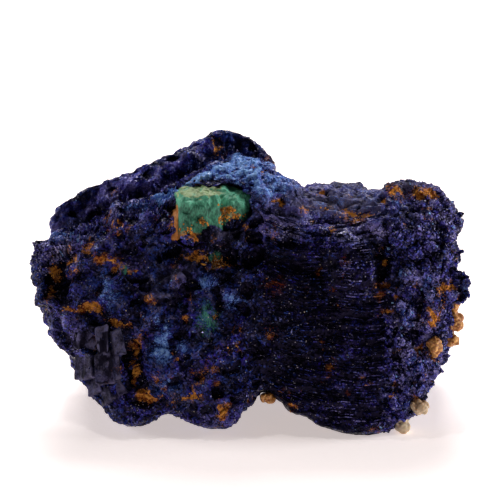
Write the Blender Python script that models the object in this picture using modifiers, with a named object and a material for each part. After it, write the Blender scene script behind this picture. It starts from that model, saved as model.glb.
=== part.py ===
"""An azurite specimen: one grown mass of azurite crystals with a block of malachite set in its shoulder
and a few tan grains of its old host rock. Blender 4.5, metres, +Z up.

The forms are laid out in millimetres on the display face: across (to the right), back (away from the
viewer) and up. The finished mass is then leaned back by DISPLAY_LEAN, cut flat where it touches the
table, and centred over the origin.
"""

import math

import bmesh
import bpy
import numpy as np
from mathutils import Euler, Matrix, Quaternion, Vector, noise
from mathutils.bvhtree import BVHTree

MM = 0.001
DISPLAY_LEAN = math.radians(20.0)
GAP = 0.3  # between pieces that touch, in millimetres
TABLE_MEETS_FACE = 1.2  # how far back the table crosses the level up = 0, in millimetres
FUSE_VOXEL = 0.42
MASS_TRIANGLES = 6300

AZURITE = (0.020, 0.022, 0.110)
MALACHITE = (0.075, 0.230, 0.120)
TAN_ROCK = (0.420, 0.250, 0.110)


# ---------------------------------------------------------------- scene and materials


def clear_scene():
    for obj in list(bpy.data.objects):
        bpy.data.objects.remove(obj)


def make_collection(name):
    collection = bpy.data.collections.new(name)
    bpy.context.scene.collection.children.link(collection)
    return collection


def make_material(name, colour, roughness):
    material = bpy.data.materials.new(name)
    material.use_nodes = True
    shader = material.node_tree.nodes["Principled BSDF"]
    shader.inputs["Base Color"].default_value = (*colour, 1.0)
    shader.inputs["Roughness"].default_value = roughness
    shader.inputs["Metallic"].default_value = 0.0
    return material


def object_from(bm, name, collection):
    mesh = bpy.data.meshes.new(name)
    bm.to_mesh(mesh)
    bm.free()
    obj = bpy.data.objects.new(name, mesh)
    collection.objects.link(obj)
    return obj


def apply_modifiers(obj):
    """Replaces the object's mesh with the one its modifiers make."""
    graph = bpy.context.evaluated_depsgraph_get()
    made = bpy.data.meshes.new_from_object(obj.evaluated_get(graph))
    obj.modifiers.clear()
    obj.data = made


# ---------------------------------------------------------------- the big bodies


def plane(at, across=0.0, up=0.0):
    """A depth that changes evenly over the display face, from its value at the middle of a form."""
    return at, across, up


def depth(surface, offset_across, offset_up):
    at, across, up = surface
    return at + across * offset_across + up * offset_up


def pillow(bm, outline, front, edge, rear, fullness=0.55, rear_fullness=None, segments=96, rings=24):
    """A rounded body that fills an outline on the display face. Its widest line follows the outline at
    the depth of edge, and it swells to the depths of front and rear. fullness under 1 makes it boxier."""
    corners = np.array(outline, float)
    centre = (corners.min(axis=0) + corners.max(axis=0)) / 2
    arms = corners - centre
    angles = np.arctan2(arms[:, 1], arms[:, 0])
    order = np.argsort(angles)
    angles, reach = angles[order], np.hypot(*arms[order].T)
    made = bmesh.ops.create_uvsphere(bm, u_segments=segments, v_segments=rings, radius=1.0)
    for vert in made["verts"]:
        x, y, z = vert.co
        power = fullness if z < 0 or rear_fullness is None else rear_fullness
        turn = math.atan2(y, x)
        arm = np.interp(turn, angles, reach, period=2 * math.pi)
        spread = arm * min(1.0, math.hypot(x, y)) ** power
        swell = abs(z) ** power
        across = spread * math.cos(turn)
        up = spread * math.sin(turn)
        face = rear if z > 0 else front
        back = (1 - swell) * depth(edge, across, up) + swell * depth(face, across, up)
        vert.co = (centre[0] + across, back, centre[1] + up)


def boulder(bm, centre, size, turn=(0.0, 0.0, 0.0), subdivisions=3):
    """An ellipsoid: centre and half sizes are (across, back, up), and turn is in degrees."""
    matrix = (
        Matrix.Translation(centre)
        @ Euler([math.radians(angle) for angle in turn]).to_matrix().to_4x4()
        @ Matrix.Diagonal((*size, 1.0))
    )
    bmesh.ops.create_icosphere(bm, subdivisions=subdivisions, radius=1.0, matrix=matrix)


FRONT_LOBE = [
    (-20.9, 17.3), (-20.3, 15.0), (-19.7, 11.8), (-18.7, 8.5), (-16.9, 5.7), (-14.9, 3.6),
    (-13.1, 1.4), (-10.5, 0.6), (-8.2, 1.8), (-6.2, 1.3), (-3.2, 0.5), (-1.4, 1.0), (0.6, 3.2),
    (3.4, 6.5), (6.0, 11.0), (7.0, 17.0), (6.3, 22.8), (4.4, 24.0), (2.6, 25.2), (1.2, 26.4),
    (-1.2, 27.0), (-4.1, 25.5), (-6.5, 24.2), (-9.3, 22.9), (-11.6, 22.5), (-13.4, 21.7),
    (-15.4, 20.0), (-17.4, 19.7), (-19.2, 19.2),
]  # fmt: skip
REAR_BLADE = [
    (-19.5, 20.2), (-18.9, 21.5), (-17.3, 23.1), (-15.3, 24.2), (-12.9, 24.6), (-9.7, 26.0),
    (-7.1, 27.1), (-5.4, 27.9), (-3.4, 29.4), (-1.5, 29.3), (0.1, 28.7), (1.4, 27.8), (2.4, 25.7),
    (3.0, 22.0), (1.0, 16.5), (-5.0, 14.0), (-11.0, 14.0), (-15.5, 15.5), (-18.3, 17.6),
]  # fmt: skip
BARREL = [
    (1.8, 4.1), (4.2, 2.1), (7.2, 0.9), (10.2, 0.1), (12.8, 0.4), (15.1, 1.2), (16.9, 3.5),
    (17.8, 6.0), (18.9, 8.2), (19.5, 11.2), (19.6, 15.0), (19.5, 19.0), (19.4, 21.8), (18.4, 23.5),
    (15.4, 24.1), (12.0, 23.9), (8.6, 24.0), (5.0, 23.8), (1.6, 22.0), (-0.4, 17.0), (-0.6, 10.5),
]  # fmt: skip
BRIDGE = [(-4.0, 6.5), (2.0, 3.9), (6.0, 5.0), (8.0, 11.0), (6.5, 18.0), (0.0, 19.5), (-5.0, 14.0)]
REAR_BODY = [
    (-16.5, 9.0), (-12.0, 5.5), (-4.0, 4.5), (4.0, 6.0), (7.5, 11.0), (6.5, 18.5), (2.5, 22.5),
    (-2.0, 23.5), (-8.0, 20.0), (-14.0, 17.5), (-17.2, 14.0),
]  # fmt: skip


def build_lobes(bm):
    """The big bodies that grew into one another: a rosette in front, a blade standing behind it with a
    groove between, a barrel of stacked plates on the right, and what joins them."""
    pillow(bm, FRONT_LOBE, plane(-0.4, -0.06, 0.06), plane(4.6, -0.02, 0.11), plane(9.0), 0.5, 0.8)
    pillow(bm, REAR_BLADE, plane(9.8, 0.05), plane(11.4, 0.06, 0.02), plane(13.8, 0.05), 0.4)
    pillow(bm, BARREL, plane(-0.2, -0.05, 0.03), plane(6.2, 0.16, 0.40), plane(16.6, 0.0, -0.364), 0.5)
    pillow(bm, BRIDGE, plane(0.9), plane(5.0), plane(12.0), 0.6)
    pillow(bm, REAR_BODY, plane(8.0), plane(12.0), plane(17.6, 0.0, -0.364))


def build_knobs(bm):
    """Smaller swellings on the big bodies."""
    boulder(bm, (-2.9, 0.9, 18.9), (3.4, 2.6, 2.0), (-14, 0, 6))  # the seat of the malachite
    boulder(bm, (-19.6, 4.6, 17.4), (1.3, 2.2, 1.7))  # the lip on the far left
    boulder(bm, (-12.9, 1.3, 7.2), (2.9, 2.2, 3.6), (0, 12, 0))  # under the dark blocks
    boulder(bm, (9.6, 0.3, 15.7), (2.5, 1.8, 2.7))  # the proud tablet of the barrel
    boulder(bm, (15.6, 10.2, 23.0), (2.3, 3.0, 1.3))  # knobs on the barrel's far shoulder
    boulder(bm, (19.3, 7.0, 20.2), (1.1, 2.4, 1.7))
    boulder(bm, (20.0, 8.5, 14.1), (1.2, 2.0, 1.0))
    boulder(bm, (19.3, 8.0, 16.9), (1.0, 1.8, 0.6))
    boulder(bm, (17.9, 6.6, 7.8), (1.2, 2.2, 1.6))
    boulder(bm, (-9.0, 13.6, 12.6), (5.6, 3.4, 4.2), (0, 20, 8))  # swellings of the far side
    boulder(bm, (-1.5, 14.6, 8.8), (4.2, 3.4, 3.6), (0, -14, 0))
    boulder(bm, (12.2, 15.2, 7.4), (5.2, 3.0, 4.4), (0, 10, -6))
    boulder(bm, (13.4, 10.6, 17.6), (4.6, 3.6, 3.8), (0, -24, 0))


# The crest of the front lobe, which the rear blade stands behind. The groove between them runs from
# GROOVE_FRONT to GROOVE_BACK, and GROOVE_ROOF is clear above everything.
RIM = [
    (-17.9, 19.5), (-15.6, 20.0), (-13.4, 21.7), (-11.6, 22.5), (-9.3, 22.9), (-6.5, 24.2),
    (-4.1, 25.5), (-2.0, 26.6),
]  # fmt: skip
GROOVE_DEPTH = 4.0
GROOVE_FRONT = 6.3
GROOVE_BACK = 9.8
GROOVE_ROOF = 34.0


def groove_cutter(collection):
    """A slot that follows the rim: an outline on the display face, drawn out from front to back."""
    floor_line = [(across, up - GROOVE_DEPTH) for across, up in RIM]
    roof_line = [(RIM[-1][0] + 1.0, GROOVE_ROOF), (RIM[0][0] - 1.0, GROOVE_ROOF)]
    bm = bmesh.new()
    corners = [bm.verts.new((across, GROOVE_FRONT, up)) for across, up in floor_line + roof_line]
    face = bm.faces.new(corners)
    drawn = bmesh.ops.extrude_face_region(bm, geom=[face])
    moved = [item for item in drawn["geom"] if isinstance(item, bmesh.types.BMVert)]
    bmesh.ops.translate(bm, verts=moved, vec=(0, GROOVE_BACK - GROOVE_FRONT, 0))
    bmesh.ops.recalc_face_normals(bm, faces=bm.faces)
    return object_from(bm, "groove_cutter", collection)


# ---------------------------------------------------------------- relief of the fused mass


def smoothstep(low, high, values):
    share = np.clip((values - low) / (high - low), 0.0, 1.0)
    return share * share * (3 - 2 * share)


def distance_to_line(across, up, line):
    """The distance on the display face from each point to an open line of (across, up) points."""
    nearest = np.full(len(across), 1e9)
    for (x0, y0), (x1, y1) in zip(line, line[1:]):
        dx, dy = x1 - x0, y1 - y0
        share = np.clip(((across - x0) * dx + (up - y0) * dy) / (dx * dx + dy * dy), 0, 1)
        nearest = np.minimum(nearest, np.hypot(across - x0 - share * dx, up - y0 - share * dy))
    return nearest


def noise_at(points, size, seed=0.0):
    """Smooth noise from -1 to 1 whose lumps are about size millimetres across."""
    shift = Vector((seed, seed * 1.7, -seed))
    return np.array([noise.noise(Vector(point) / size + shift) for point in points])


def facets_at(points, size, seed):
    """How far a surface broken into flat tilted faces, about size across, stands above its mean. Each
    face is a cell around a random point, tilted about that point by its own random slope."""
    heights = np.empty(len(points))
    shift = Vector((seed, -seed, seed * 0.5))
    for index, point in enumerate(points):
        place = Vector(point) / size + shift
        middle = noise.voronoi(place)[1][0]
        slope = noise.cell_vector(middle * 7.3) - Vector((0.5, 0.5, 0.5))
        heights[index] = slope.dot(place - middle) * 2 + noise.cell(middle * 3.1) * 0.35
    return heights


# Lines of (across, up) on the display face, in millimetres: ledges stand proud, clefts are sunk.
LEDGES = [
    [(-0.3, 21.3), (2.5, 20.3), (4.9, 19.6), (8.2, 18.9), (9.8, 19.1), (11.9, 19.9), (14.3, 20.9)],
    [(-0.5, 19.7), (2.0, 19.2), (4.9, 18.4), (7.7, 17.8), (9.8, 18.5), (12.0, 18.9), (14.6, 18.7)],
    [(-0.8, 18.1), (2.0, 17.6), (4.9, 17.3), (7.7, 17.0)],
    [(8.0, 18.6), (10.2, 18.2), (11.6, 17.1), (11.9, 14.2), (13.8, 13.2), (14.2, 11.6)],
    [(-6.3, 15.8), (-7.3, 14.0), (-9.2, 13.0)],
    [(-19.6, 16.0), (-18.9, 12.8), (-16.4, 12.6), (-14.0, 13.2)],
]  # fmt: skip
CLEFTS = [
    [(-18.2, 16.6), (-18.0, 14.6), (-17.2, 12.9)],
    [(-11.5, 9.6), (-11.2, 7.0), (-10.8, 4.8), (-9.2, 3.2)],
    [(-7.6, 22.3), (-7.6, 18.6), (-6.6, 16.7), (-3.0, 16.4), (0.6, 17.0), (0.4, 20.4)],
    [(0.4, 17.2), (3.2, 16.2), (7.0, 15.9)],
    [(12.3, 17.6), (12.8, 14.9), (15.0, 13.4), (15.4, 10.2), (16.6, 8.4)],
    [(-2.8, 27.9), (-1.2, 28.0), (0.4, 27.3)],
]  # fmt: skip


# Lumps of the mass: how wide they are, how far they move the surface, and the noise they are drawn from.
NEAR_LUMPS = [(4.2, 0.42, 3.0), (2.1, 0.30, 11.0)]
FAR_LUMPS = [(6.5, 1.5, 21.0), (3.2, 0.7, 27.0)]
LEDGE_HEIGHT = 0.62
LEDGE_WIDTH = 0.55
CLEFT_DEPTH = 0.95
CLEFT_WIDTH = 0.7
# The barrel's plates show as steps, which sag towards its middle and overhang at their lower edges.
STEP_SPACING = 1.35
STEP_HEIGHT = 0.34
STEP_OVERHANG = 0.75  # the share of a step that rises gently
SAG_MIDDLE = 6.0
SAG = 0.016
# Flat crystal faces: how wide they are and how far they stand out, on the druse and on the barrel.
DRUSE_FACES = (2.5, 0.58)
BARREL_FACES = (2.2, 0.22)
SKIN_ALLOWANCE = 0.12  # left for the fine skin of crystals


def lumps_at(points, lumps):
    return sum(height * noise_at(points, size, seed) for size, height, seed in lumps)


def along_lines(points, lines, width):
    """1 on each of the lines, fading to nothing over width to either side, added up."""
    across, _, up = points.T
    return sum(np.exp(-((distance_to_line(across, up, line) / width) ** 2)) for line in lines)


def relief(points, normals):
    """How far each point of the fused mass moves along its normal, in millimetres."""
    across, back, up = points.T
    faces_viewer = smoothstep(-0.1, 0.5, -normals[:, 1])
    far_side = smoothstep(0.1, 0.7, normals[:, 1])
    moves = lumps_at(points, NEAR_LUMPS) + far_side * lumps_at(points, FAR_LUMPS)
    moves += LEDGE_HEIGHT * faces_viewer * along_lines(points, LEDGES, LEDGE_WIDTH)
    moves -= CLEFT_DEPTH * faces_viewer * along_lines(points, CLEFTS, CLEFT_WIDTH)

    on_barrel = smoothstep(0.0, 3.5, across) * (1 - smoothstep(14.0, 16.5, across))
    on_barrel *= 1 - smoothstep(16.5, 18.0, up)
    level = up - SAG * (across - SAG_MIDDLE) ** 2 + 0.45 * noise_at(points, 3.0, 5.0)
    step = (level / STEP_SPACING) % 1.0
    rise = np.minimum(step / STEP_OVERHANG, (1 - step) / (1 - STEP_OVERHANG))
    moves += STEP_HEIGHT * on_barrel * (rise - 0.5)

    rim_distance = distance_to_line(across, up, RIM)
    on_blade = smoothstep(6.0, 7.5, back) * (1 - smoothstep(3.0, 5.0, rim_distance))
    on_druse = (1 - on_barrel) * (1 - 0.55 * on_blade)
    for share, (width, height), seed in ((on_druse, DRUSE_FACES, 4.0), (on_barrel, BARREL_FACES, 9.0)):
        moves += share * height * facets_at(points, width, seed)
    edge_on = 1 - smoothstep(0.0, 0.45, np.abs(normals[:, 1]))
    return moves * (1 - 0.45 * edge_on) * (1 - 0.3 * on_blade) - SKIN_ALLOWANCE


def relieve(obj):
    mesh = obj.data
    points = np.empty(len(mesh.vertices) * 3, np.float32)
    normals = np.empty(len(mesh.vertices) * 3, np.float32)
    mesh.vertices.foreach_get("co", points)
    mesh.vertices.foreach_get("normal", normals)
    points = points.reshape(-1, 3).astype(float)
    normals = normals.reshape(-1, 3).astype(float)
    points += normals * relief(points, normals)[:, None]
    mesh.vertices.foreach_set("co", points.ravel().astype(np.float32))
    mesh.update()


def voxel_skin(obj, voxel_size):
    skin = obj.modifiers.new("skin", "REMESH")
    skin.mode = "VOXEL"
    skin.voxel_size = voxel_size
    apply_modifiers(obj)


def combine(obj, other, operation, self_crossing=False):
    """Joins the other mesh to the object, or cuts it away."""
    boolean = obj.modifiers.new(operation.lower(), "BOOLEAN")
    boolean.operation = operation
    boolean.object = other
    boolean.solver = "EXACT"
    boolean.use_self = self_crossing
    apply_modifiers(obj)


def as_cutter(obj):
    obj.hide_render = True
    obj.display_type = "WIRE"


def fuse(mass, cutters):
    """Joins the overlapping bodies in one skin, cuts the groove, softens the seams, carves the relief
    and thins the mesh out where the surface is flat."""
    voxel_skin(mass, FUSE_VOXEL)
    groove = groove_cutter(cutters)
    as_cutter(groove)
    combine(mass, groove, "DIFFERENCE")
    voxel_skin(mass, FUSE_VOXEL)
    soften = mass.modifiers.new("soften", "SMOOTH")
    soften.factor = 0.5
    soften.iterations = 5
    apply_modifiers(mass)
    relieve(mass)
    voxel_skin(mass, FUSE_VOXEL * 0.8)
    thin = mass.modifiers.new("thin", "DECIMATE")
    thin.ratio = MASS_TRIANGLES / (2 * len(mass.data.polygons))
    apply_modifiers(mass)


# ---------------------------------------------------------------- crystals with flat faces


def front_surface(mass):
    """A function that gives where a straight look at (across, up) meets the mass, and which way the
    surface faces there."""
    graph = bpy.context.evaluated_depsgraph_get()
    tree = BVHTree.FromObject(mass, graph)

    def meet(across, up):
        place, normal, _, _ = tree.ray_cast(Vector((across, -50, up)), Vector((0, 1, 0)))
        return place, normal

    return meet


def chisel_crystal(bm, foot, direction, length, width, twist):
    """A stout crystal whose two broad faces meet in a short edge, as azurite grows. Its foot is sunk in
    the mass."""
    turn = direction.to_track_quat("Z", "Y") @ Quaternion((0, 0, 1), twist)
    matrix = Matrix.Translation(foot) @ turn.to_matrix().to_4x4()
    made = bmesh.ops.create_cube(bm, size=1.0)
    for vert in made["verts"]:
        x, y, z = vert.co
        if z > 0:
            x, y = 0.30 * x, 0.72 * y
        vert.co = matrix @ Vector((x * width * 0.8, y * width, (z + 0.1) * length))


def block_crystal(bm, centre, size, turn, taper):
    """A stout block with one end drawn in. centre and size are (across, back, up), turn in degrees."""
    matrix = (
        Matrix.Translation(centre) @ Euler([math.radians(angle) for angle in turn]).to_matrix().to_4x4()
    )
    made = bmesh.ops.create_cube(bm, size=1.0)
    for vert in made["verts"]:
        if vert.co.z > 0:
            vert.co.x *= taper
            vert.co.y *= (1 + taper) / 2
        vert.co = matrix @ Vector((vert.co.x * size[0], vert.co.y * size[1], vert.co.z * size[2]))


# The dark blocks low on the left: centre (across, up), size (across, back, up), turn, taper.
BLOCKS = [
    ((-13.9, 8.9), (2.0, 2.2, 2.6), (12, 28, -22), 0.7),
    ((-12.7, 9.2), (1.1, 1.9, 2.3), (-6, 14, 16), 0.75),
    ((-11.6, 9.6), (1.0, 1.5, 1.3), (10, -10, -24), 0.8),
    ((-13.9, 7.1), (2.4, 2.4, 2.3), (-10, -24, 14), 0.6),
    ((-12.0, 7.0), (1.7, 2.2, 2.9), (8, -16, -14), 0.7),
    ((-12.4, 5.3), (2.4, 2.6, 2.2), (16, 22, 8), 0.65),
    ((-10.9, 4.7), (1.8, 2.2, 2.6), (-8, -28, -18), 0.7),
    ((-15.3, 8.9), (1.4, 1.8, 1.9), (4, 36, 12), 0.7),
]
# Patches of outstanding crystals: (across, up) of the middle, half sizes, number, length.
DRUSES = [
    ((16.2, 18.6), (3.0, 4.2), 17, 2.0),
    ((15.6, 10.4), (2.2, 5.4), 16, 1.9),
    ((15.0, 4.0), (2.0, 2.0), 4, 1.7),
    ((-18.6, 17.0), (1.2, 1.5), 4, 1.7),
    ((-8.0, 11.0), (2.8, 4.6), 7, 1.7),
    ((-4.6, 3.6), (3.0, 1.4), 4, 1.7),
    ((-11.5, 18.4), (3.6, 1.6), 5, 1.7),
]
# Crystals that break the outline: (across, up) of the foot, lean from straight right in degrees, length.
OUTLINE_CRYSTALS = [
    (19.3, 17.0, 8, 2.2), (19.2, 15.9, -12, 1.8), (19.5, 14.3, 10, 2.9), (19.6, 13.2, -8, 2.2),
    (19.4, 20.8, 10, 1.6), (19.2, 19.6, -10, 1.5), (18.2, 22.4, 50, 1.7), (17.2, 5.9, -14, 1.4),
    (16.8, 4.2, -10, 1.5), (15.4, 23.2, 84, 1.6), (14.0, 23.4, 100, 1.4), (18.2, 7.6, -20, 1.8),
]  # fmt: skip


def build_crystals(meet, rng):
    bm = bmesh.new()
    for (across, up), size, turn, taper in BLOCKS:
        place, _ = meet(across, up)
        block_crystal(bm, (across, place.y + 0.30 * size[1], up), size, turn, taper)
    for (across, up), (half_across, half_up), count, length in DRUSES:
        for _ in range(count):
            x = across + half_across * rng.uniform(-1, 1)
            z = up + half_up * rng.uniform(-1, 1)
            place, normal = meet(x, z)
            if place is None:
                continue
            direction = normal + Vector(rng.uniform(-0.35, 0.35, 3))
            long = length * rng.uniform(0.75, 1.2)
            foot = place - 0.26 * long * direction.normalized()
            chisel_crystal(bm, foot, direction, long, 0.8 * long, rng.uniform(0, math.pi))
    for across, up, lean, length in OUTLINE_CRYSTALS:
        place, _ = meet(across - 0.5, up)
        if place is None:
            continue
        angle = math.radians(lean)
        direction = Vector((math.cos(angle), -0.15, math.sin(angle)))
        foot = Vector((across - 0.2, place.y + 0.6, up))
        chisel_crystal(bm, foot, direction, length, 0.7 * length, rng.uniform(0, math.pi))
    return bm


# ---------------------------------------------------------------- malachite and grains

MALACHITE_BLOCK = ((-4.7, 0.9, 20.8), (3.9, 4.4, 3.8), (22, -8, 14))
MALACHITE_KNOB = ((-1.95, 0.9, 21.5), (1.95, 2.3, 2.0), (10, 0, 20))
# (across, up) of the middle, half sizes (across, back, up), how far back the middle is
GRAINS = {
    "tan_grain_1": ((19.35, 12.4), (0.62, 0.85, 0.62), 3.9),
    "tan_grain_2": ((19.25, 10.8), (1.05, 1.25, 1.15), 3.9),
    "tan_grain_3": ((19.1, 9.1), (0.75, 0.95, 0.72), 3.6),
    "tan_grain_4": ((17.4, 8.6), (0.85, 1.05, 0.9), 0.9),
    "tan_grain_5": ((15.9, 2.9), (0.85, 0.95, 0.68), 1.3),
    "tan_grain_6": ((14.4, 1.25), (0.72, 0.9, 0.95), 2.4),
    "tan_grain_7": ((1.75, 3.75), (0.7, 0.85, 0.5), 1.9),
}


def build_malachite(collection, name, grown=0.0):
    """A malachite block with a rounder knob beside it, one piece. grown makes every side thicker."""
    bm = bmesh.new()
    centre, size, turn = MALACHITE_BLOCK
    matrix = (
        Matrix.Translation(centre) @ Euler([math.radians(angle) for angle in turn]).to_matrix().to_4x4()
    )
    made = bmesh.ops.create_cube(bm, size=1.0)
    full = Vector(size) + Vector((2 * grown,) * 3)
    for vert in made["verts"]:
        vert.co = Vector((vert.co.x * full.x, vert.co.y * full.y, vert.co.z * full.z))
    bmesh.ops.bevel(bm, geom=bm.edges[:], offset=0.35, segments=2, affect="EDGES", profile=0.6)
    for vert in bm.verts:
        vert.co = matrix @ vert.co
    block = object_from(bm, name, collection)

    bm = bmesh.new()
    centre, half, turn = MALACHITE_KNOB
    boulder(bm, centre, [side + grown for side in half], turn, 2)
    knob = object_from(bm, name + "_knob", collection)
    combine(block, knob, "UNION")
    bpy.data.objects.remove(knob)
    return block


def build_grain(collection, name, shape, grown=0.0):
    (across, up), half, back = shape
    bm = bmesh.new()
    boulder(bm, (across, back, up), half, (0, 0, 0), 1)
    middle = Vector((across, back, up))
    for vert in bm.verts:
        arm = vert.co - middle
        vert.co = middle + arm * (1 + 0.28 * noise.noise(arm * 1.3 + middle)) + arm.normalized() * grown
    return object_from(bm, name, collection)


# ---------------------------------------------------------------- assembly


def lean_back_and_stand(obj):
    """From the display face's millimetres to metres, leaning back, with the table at z = 0."""
    drop = TABLE_MEETS_FACE * math.sin(DISPLAY_LEAN) * MM
    obj.data.transform(
        Matrix.Translation((0, 0, drop)) @ Matrix.Rotation(-DISPLAY_LEAN, 4, "X") @ Matrix.Scale(MM, 4)
    )


def cut_flat_at_table(obj):
    bm = bmesh.new()
    bm.from_mesh(obj.data)
    everything = bm.verts[:] + bm.edges[:] + bm.faces[:]
    cut = bmesh.ops.bisect_plane(
        bm, geom=everything, plane_co=(0, 0, 0), plane_no=(0, 0, 1), dist=1e-7, clear_inner=True
    )
    edges = [item for item in cut["geom_cut"] if isinstance(item, bmesh.types.BMEdge)]
    if edges:
        bmesh.ops.holes_fill(bm, edges=edges, sides=0)
        bmesh.ops.triangulate(bm, faces=bm.faces[:])
        bmesh.ops.recalc_face_normals(bm, faces=bm.faces)
    bm.to_mesh(obj.data)
    bm.free()


def drop_chips(obj):
    """Removes what the cuts left loose: every piece of the mesh but the one with the most faces."""
    bm = bmesh.new()
    bm.from_mesh(obj.data)
    unseen = set(bm.faces)
    pieces = []
    while unseen:
        front = [unseen.pop()]
        piece = list(front)
        while front:
            touching = {other for edge in front.pop().edges for other in edge.link_faces} & unseen
            unseen -= touching
            front += touching
            piece += touching
        pieces.append(piece)
    pieces.sort(key=len)
    for piece in pieces[:-1]:
        bmesh.ops.delete(bm, geom=piece, context="FACES")
    bm.to_mesh(obj.data)
    bm.free()


def centre_over_origin(objects):
    """Slides everything sideways together, so that the origin is under the middle of the whole."""
    corners = np.array([vert.co[:] for obj in objects for vert in obj.data.vertices])
    middle = (corners.min(axis=0) + corners.max(axis=0)) / 2
    for obj in objects:
        obj.data.transform(Matrix.Translation((-middle[0], -middle[1], 0)))


def main():
    clear_scene()
    parts = make_collection("azurite_specimen")
    cutters = make_collection("cutters")
    rng = np.random.default_rng(7)

    bm = bmesh.new()
    build_lobes(bm)
    build_knobs(bm)
    mass = object_from(bm, "azurite_mass", parts)
    fuse(mass, cutters)
    crystals = object_from(build_crystals(front_surface(mass), rng), "crystals", cutters)
    as_cutter(crystals)
    combine(mass, crystals, "UNION", self_crossing=True)

    malachite = build_malachite(parts, "malachite_block")
    socket = build_malachite(cutters, "malachite_socket", GAP)
    as_cutter(socket)
    combine(mass, socket, "DIFFERENCE")
    grains = []
    for name, shape in GRAINS.items():
        grains.append(build_grain(parts, name, shape))
        pocket = build_grain(cutters, name + "_pocket", shape, GAP)
        as_cutter(pocket)
        combine(mass, pocket, "DIFFERENCE")
    drop_chips(mass)

    finishes = {mass: (AZURITE, 0.35), malachite: (MALACHITE, 0.6)}
    for obj in [mass, malachite] + grains:
        lean_back_and_stand(obj)
        cut_flat_at_table(obj)
        colour, roughness = finishes.get(obj, (TAN_ROCK, 0.7))
        obj.data.materials.clear()
        obj.data.materials.append(make_material(obj.name, colour, roughness))
    centre_over_origin([mass, malachite] + grains)


main()
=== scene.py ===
import math

import bmesh
import bpy
import numpy as np
from mathutils import Matrix, Vector, noise
from mathutils.bvhtree import BVHTree
from mathutils.kdtree import KDTree


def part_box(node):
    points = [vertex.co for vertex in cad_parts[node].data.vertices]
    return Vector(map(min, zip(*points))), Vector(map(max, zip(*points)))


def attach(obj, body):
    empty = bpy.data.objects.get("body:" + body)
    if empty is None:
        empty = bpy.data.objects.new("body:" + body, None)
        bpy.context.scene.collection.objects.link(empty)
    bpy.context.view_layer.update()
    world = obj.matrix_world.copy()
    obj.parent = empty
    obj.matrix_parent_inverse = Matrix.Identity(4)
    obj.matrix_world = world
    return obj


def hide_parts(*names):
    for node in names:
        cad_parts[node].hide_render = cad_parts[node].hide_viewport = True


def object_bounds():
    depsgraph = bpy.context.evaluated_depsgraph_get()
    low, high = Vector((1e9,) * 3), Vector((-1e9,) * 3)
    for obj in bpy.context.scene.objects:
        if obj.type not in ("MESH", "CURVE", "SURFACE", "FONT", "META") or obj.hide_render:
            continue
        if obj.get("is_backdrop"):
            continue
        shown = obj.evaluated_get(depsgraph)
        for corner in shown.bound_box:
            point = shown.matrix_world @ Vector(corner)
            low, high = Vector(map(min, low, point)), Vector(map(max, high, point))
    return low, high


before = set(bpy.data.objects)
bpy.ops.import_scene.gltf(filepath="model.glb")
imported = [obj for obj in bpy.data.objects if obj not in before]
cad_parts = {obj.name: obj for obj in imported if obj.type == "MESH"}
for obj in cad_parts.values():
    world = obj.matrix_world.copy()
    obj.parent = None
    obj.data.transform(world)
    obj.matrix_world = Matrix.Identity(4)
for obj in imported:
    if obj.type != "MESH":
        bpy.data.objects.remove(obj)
cad_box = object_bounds()
rng = np.random.default_rng(11)

# ---------------------------------------------------------------- the azurite mass
# One grown mass of azurite: a rosette in front, a blade standing behind it and a barrel of stacked
# plates on the right. Its skin is a crust of intergrown crystals with lumps, creases and pits.
# It leans back as displayed, so it is shaped on its display face, in millimetres: across to the right,
# back away from the viewer, and up. The malachite block's lowest corner gives where that face stands.

MM = 0.001
DISPLAY_LEAN = math.radians(20.0)
FACE_CORNER_FROM_MALACHITE = Vector((7.136, -5.322, -17.180))
SKIN_VOXEL = 0.19
FAN_ROOT = (6.0, 0.0, 26.0)
FAN_SPREAD = 15.0

face_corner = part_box("malachite_block")[0] + FACE_CORNER_FROM_MALACHITE * MM
FACE_TO_FRAME = (
    Matrix.Translation(face_corner) @ Matrix.Rotation(-DISPLAY_LEAN, 4, "X") @ Matrix.Scale(MM, 4)
)


def select_only(obj):
    bpy.ops.object.select_all(action="DESELECT")
    obj.select_set(True)
    bpy.context.view_layer.objects.active = obj


def apply_modifier(obj, kind, **settings):
    select_only(obj)
    bpy.ops.object.modifier_add(type=kind)
    modifier = obj.modifiers[-1]
    for name, value in settings.items():
        setattr(modifier, name, value)
    bpy.ops.object.modifier_apply(modifier=modifier.name)


def copy_on_face(node, name):
    """A merged copy of a CAD node, in the display face's millimetres."""
    obj = bpy.data.objects.new(name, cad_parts[node].data.copy())
    bpy.context.scene.collection.objects.link(obj)
    obj.data.materials.clear()
    obj.data.transform(FACE_TO_FRAME.inverted())
    select_only(obj)
    bpy.ops.object.mode_set(mode="EDIT")
    bpy.ops.mesh.select_all(action="SELECT")
    bpy.ops.mesh.remove_doubles(threshold=0.001)
    bpy.ops.object.mode_set(mode="OBJECT")
    return obj


def read_points(obj):
    """The points and normals of a piece as two arrays."""
    count = len(obj.data.vertices)
    points = np.empty(count * 3, np.float32)
    normals = np.empty(count * 3, np.float32)
    obj.data.vertices.foreach_get("co", points)
    obj.data.vertices.foreach_get("normal", normals)
    return points.reshape(-1, 3).astype(float), normals.reshape(-1, 3).astype(float)


def write_points(obj, points):
    obj.data.vertices.foreach_set("co", points.ravel().astype(np.float32))
    obj.data.update()


def above_table(points):
    """How far each point of the display face is above the table, in millimetres."""
    return points @ (np.array(FACE_TO_FRAME)[2, :3] / MM) + face_corner.z / MM


def place_in_frame(obj, material):
    """Moves a finished piece from the display face's millimetres to the frame and hands it over. What
    would reach through the table is worn flat."""
    obj.data.transform(FACE_TO_FRAME)
    points, _ = read_points(obj)
    points[:, 2] = np.maximum(points[:, 2], 0.0)
    write_points(obj, points)
    obj.data.materials.clear()
    obj.data.materials.append(material)
    obj.data.shade_flat()
    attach(obj, "root")


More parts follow.
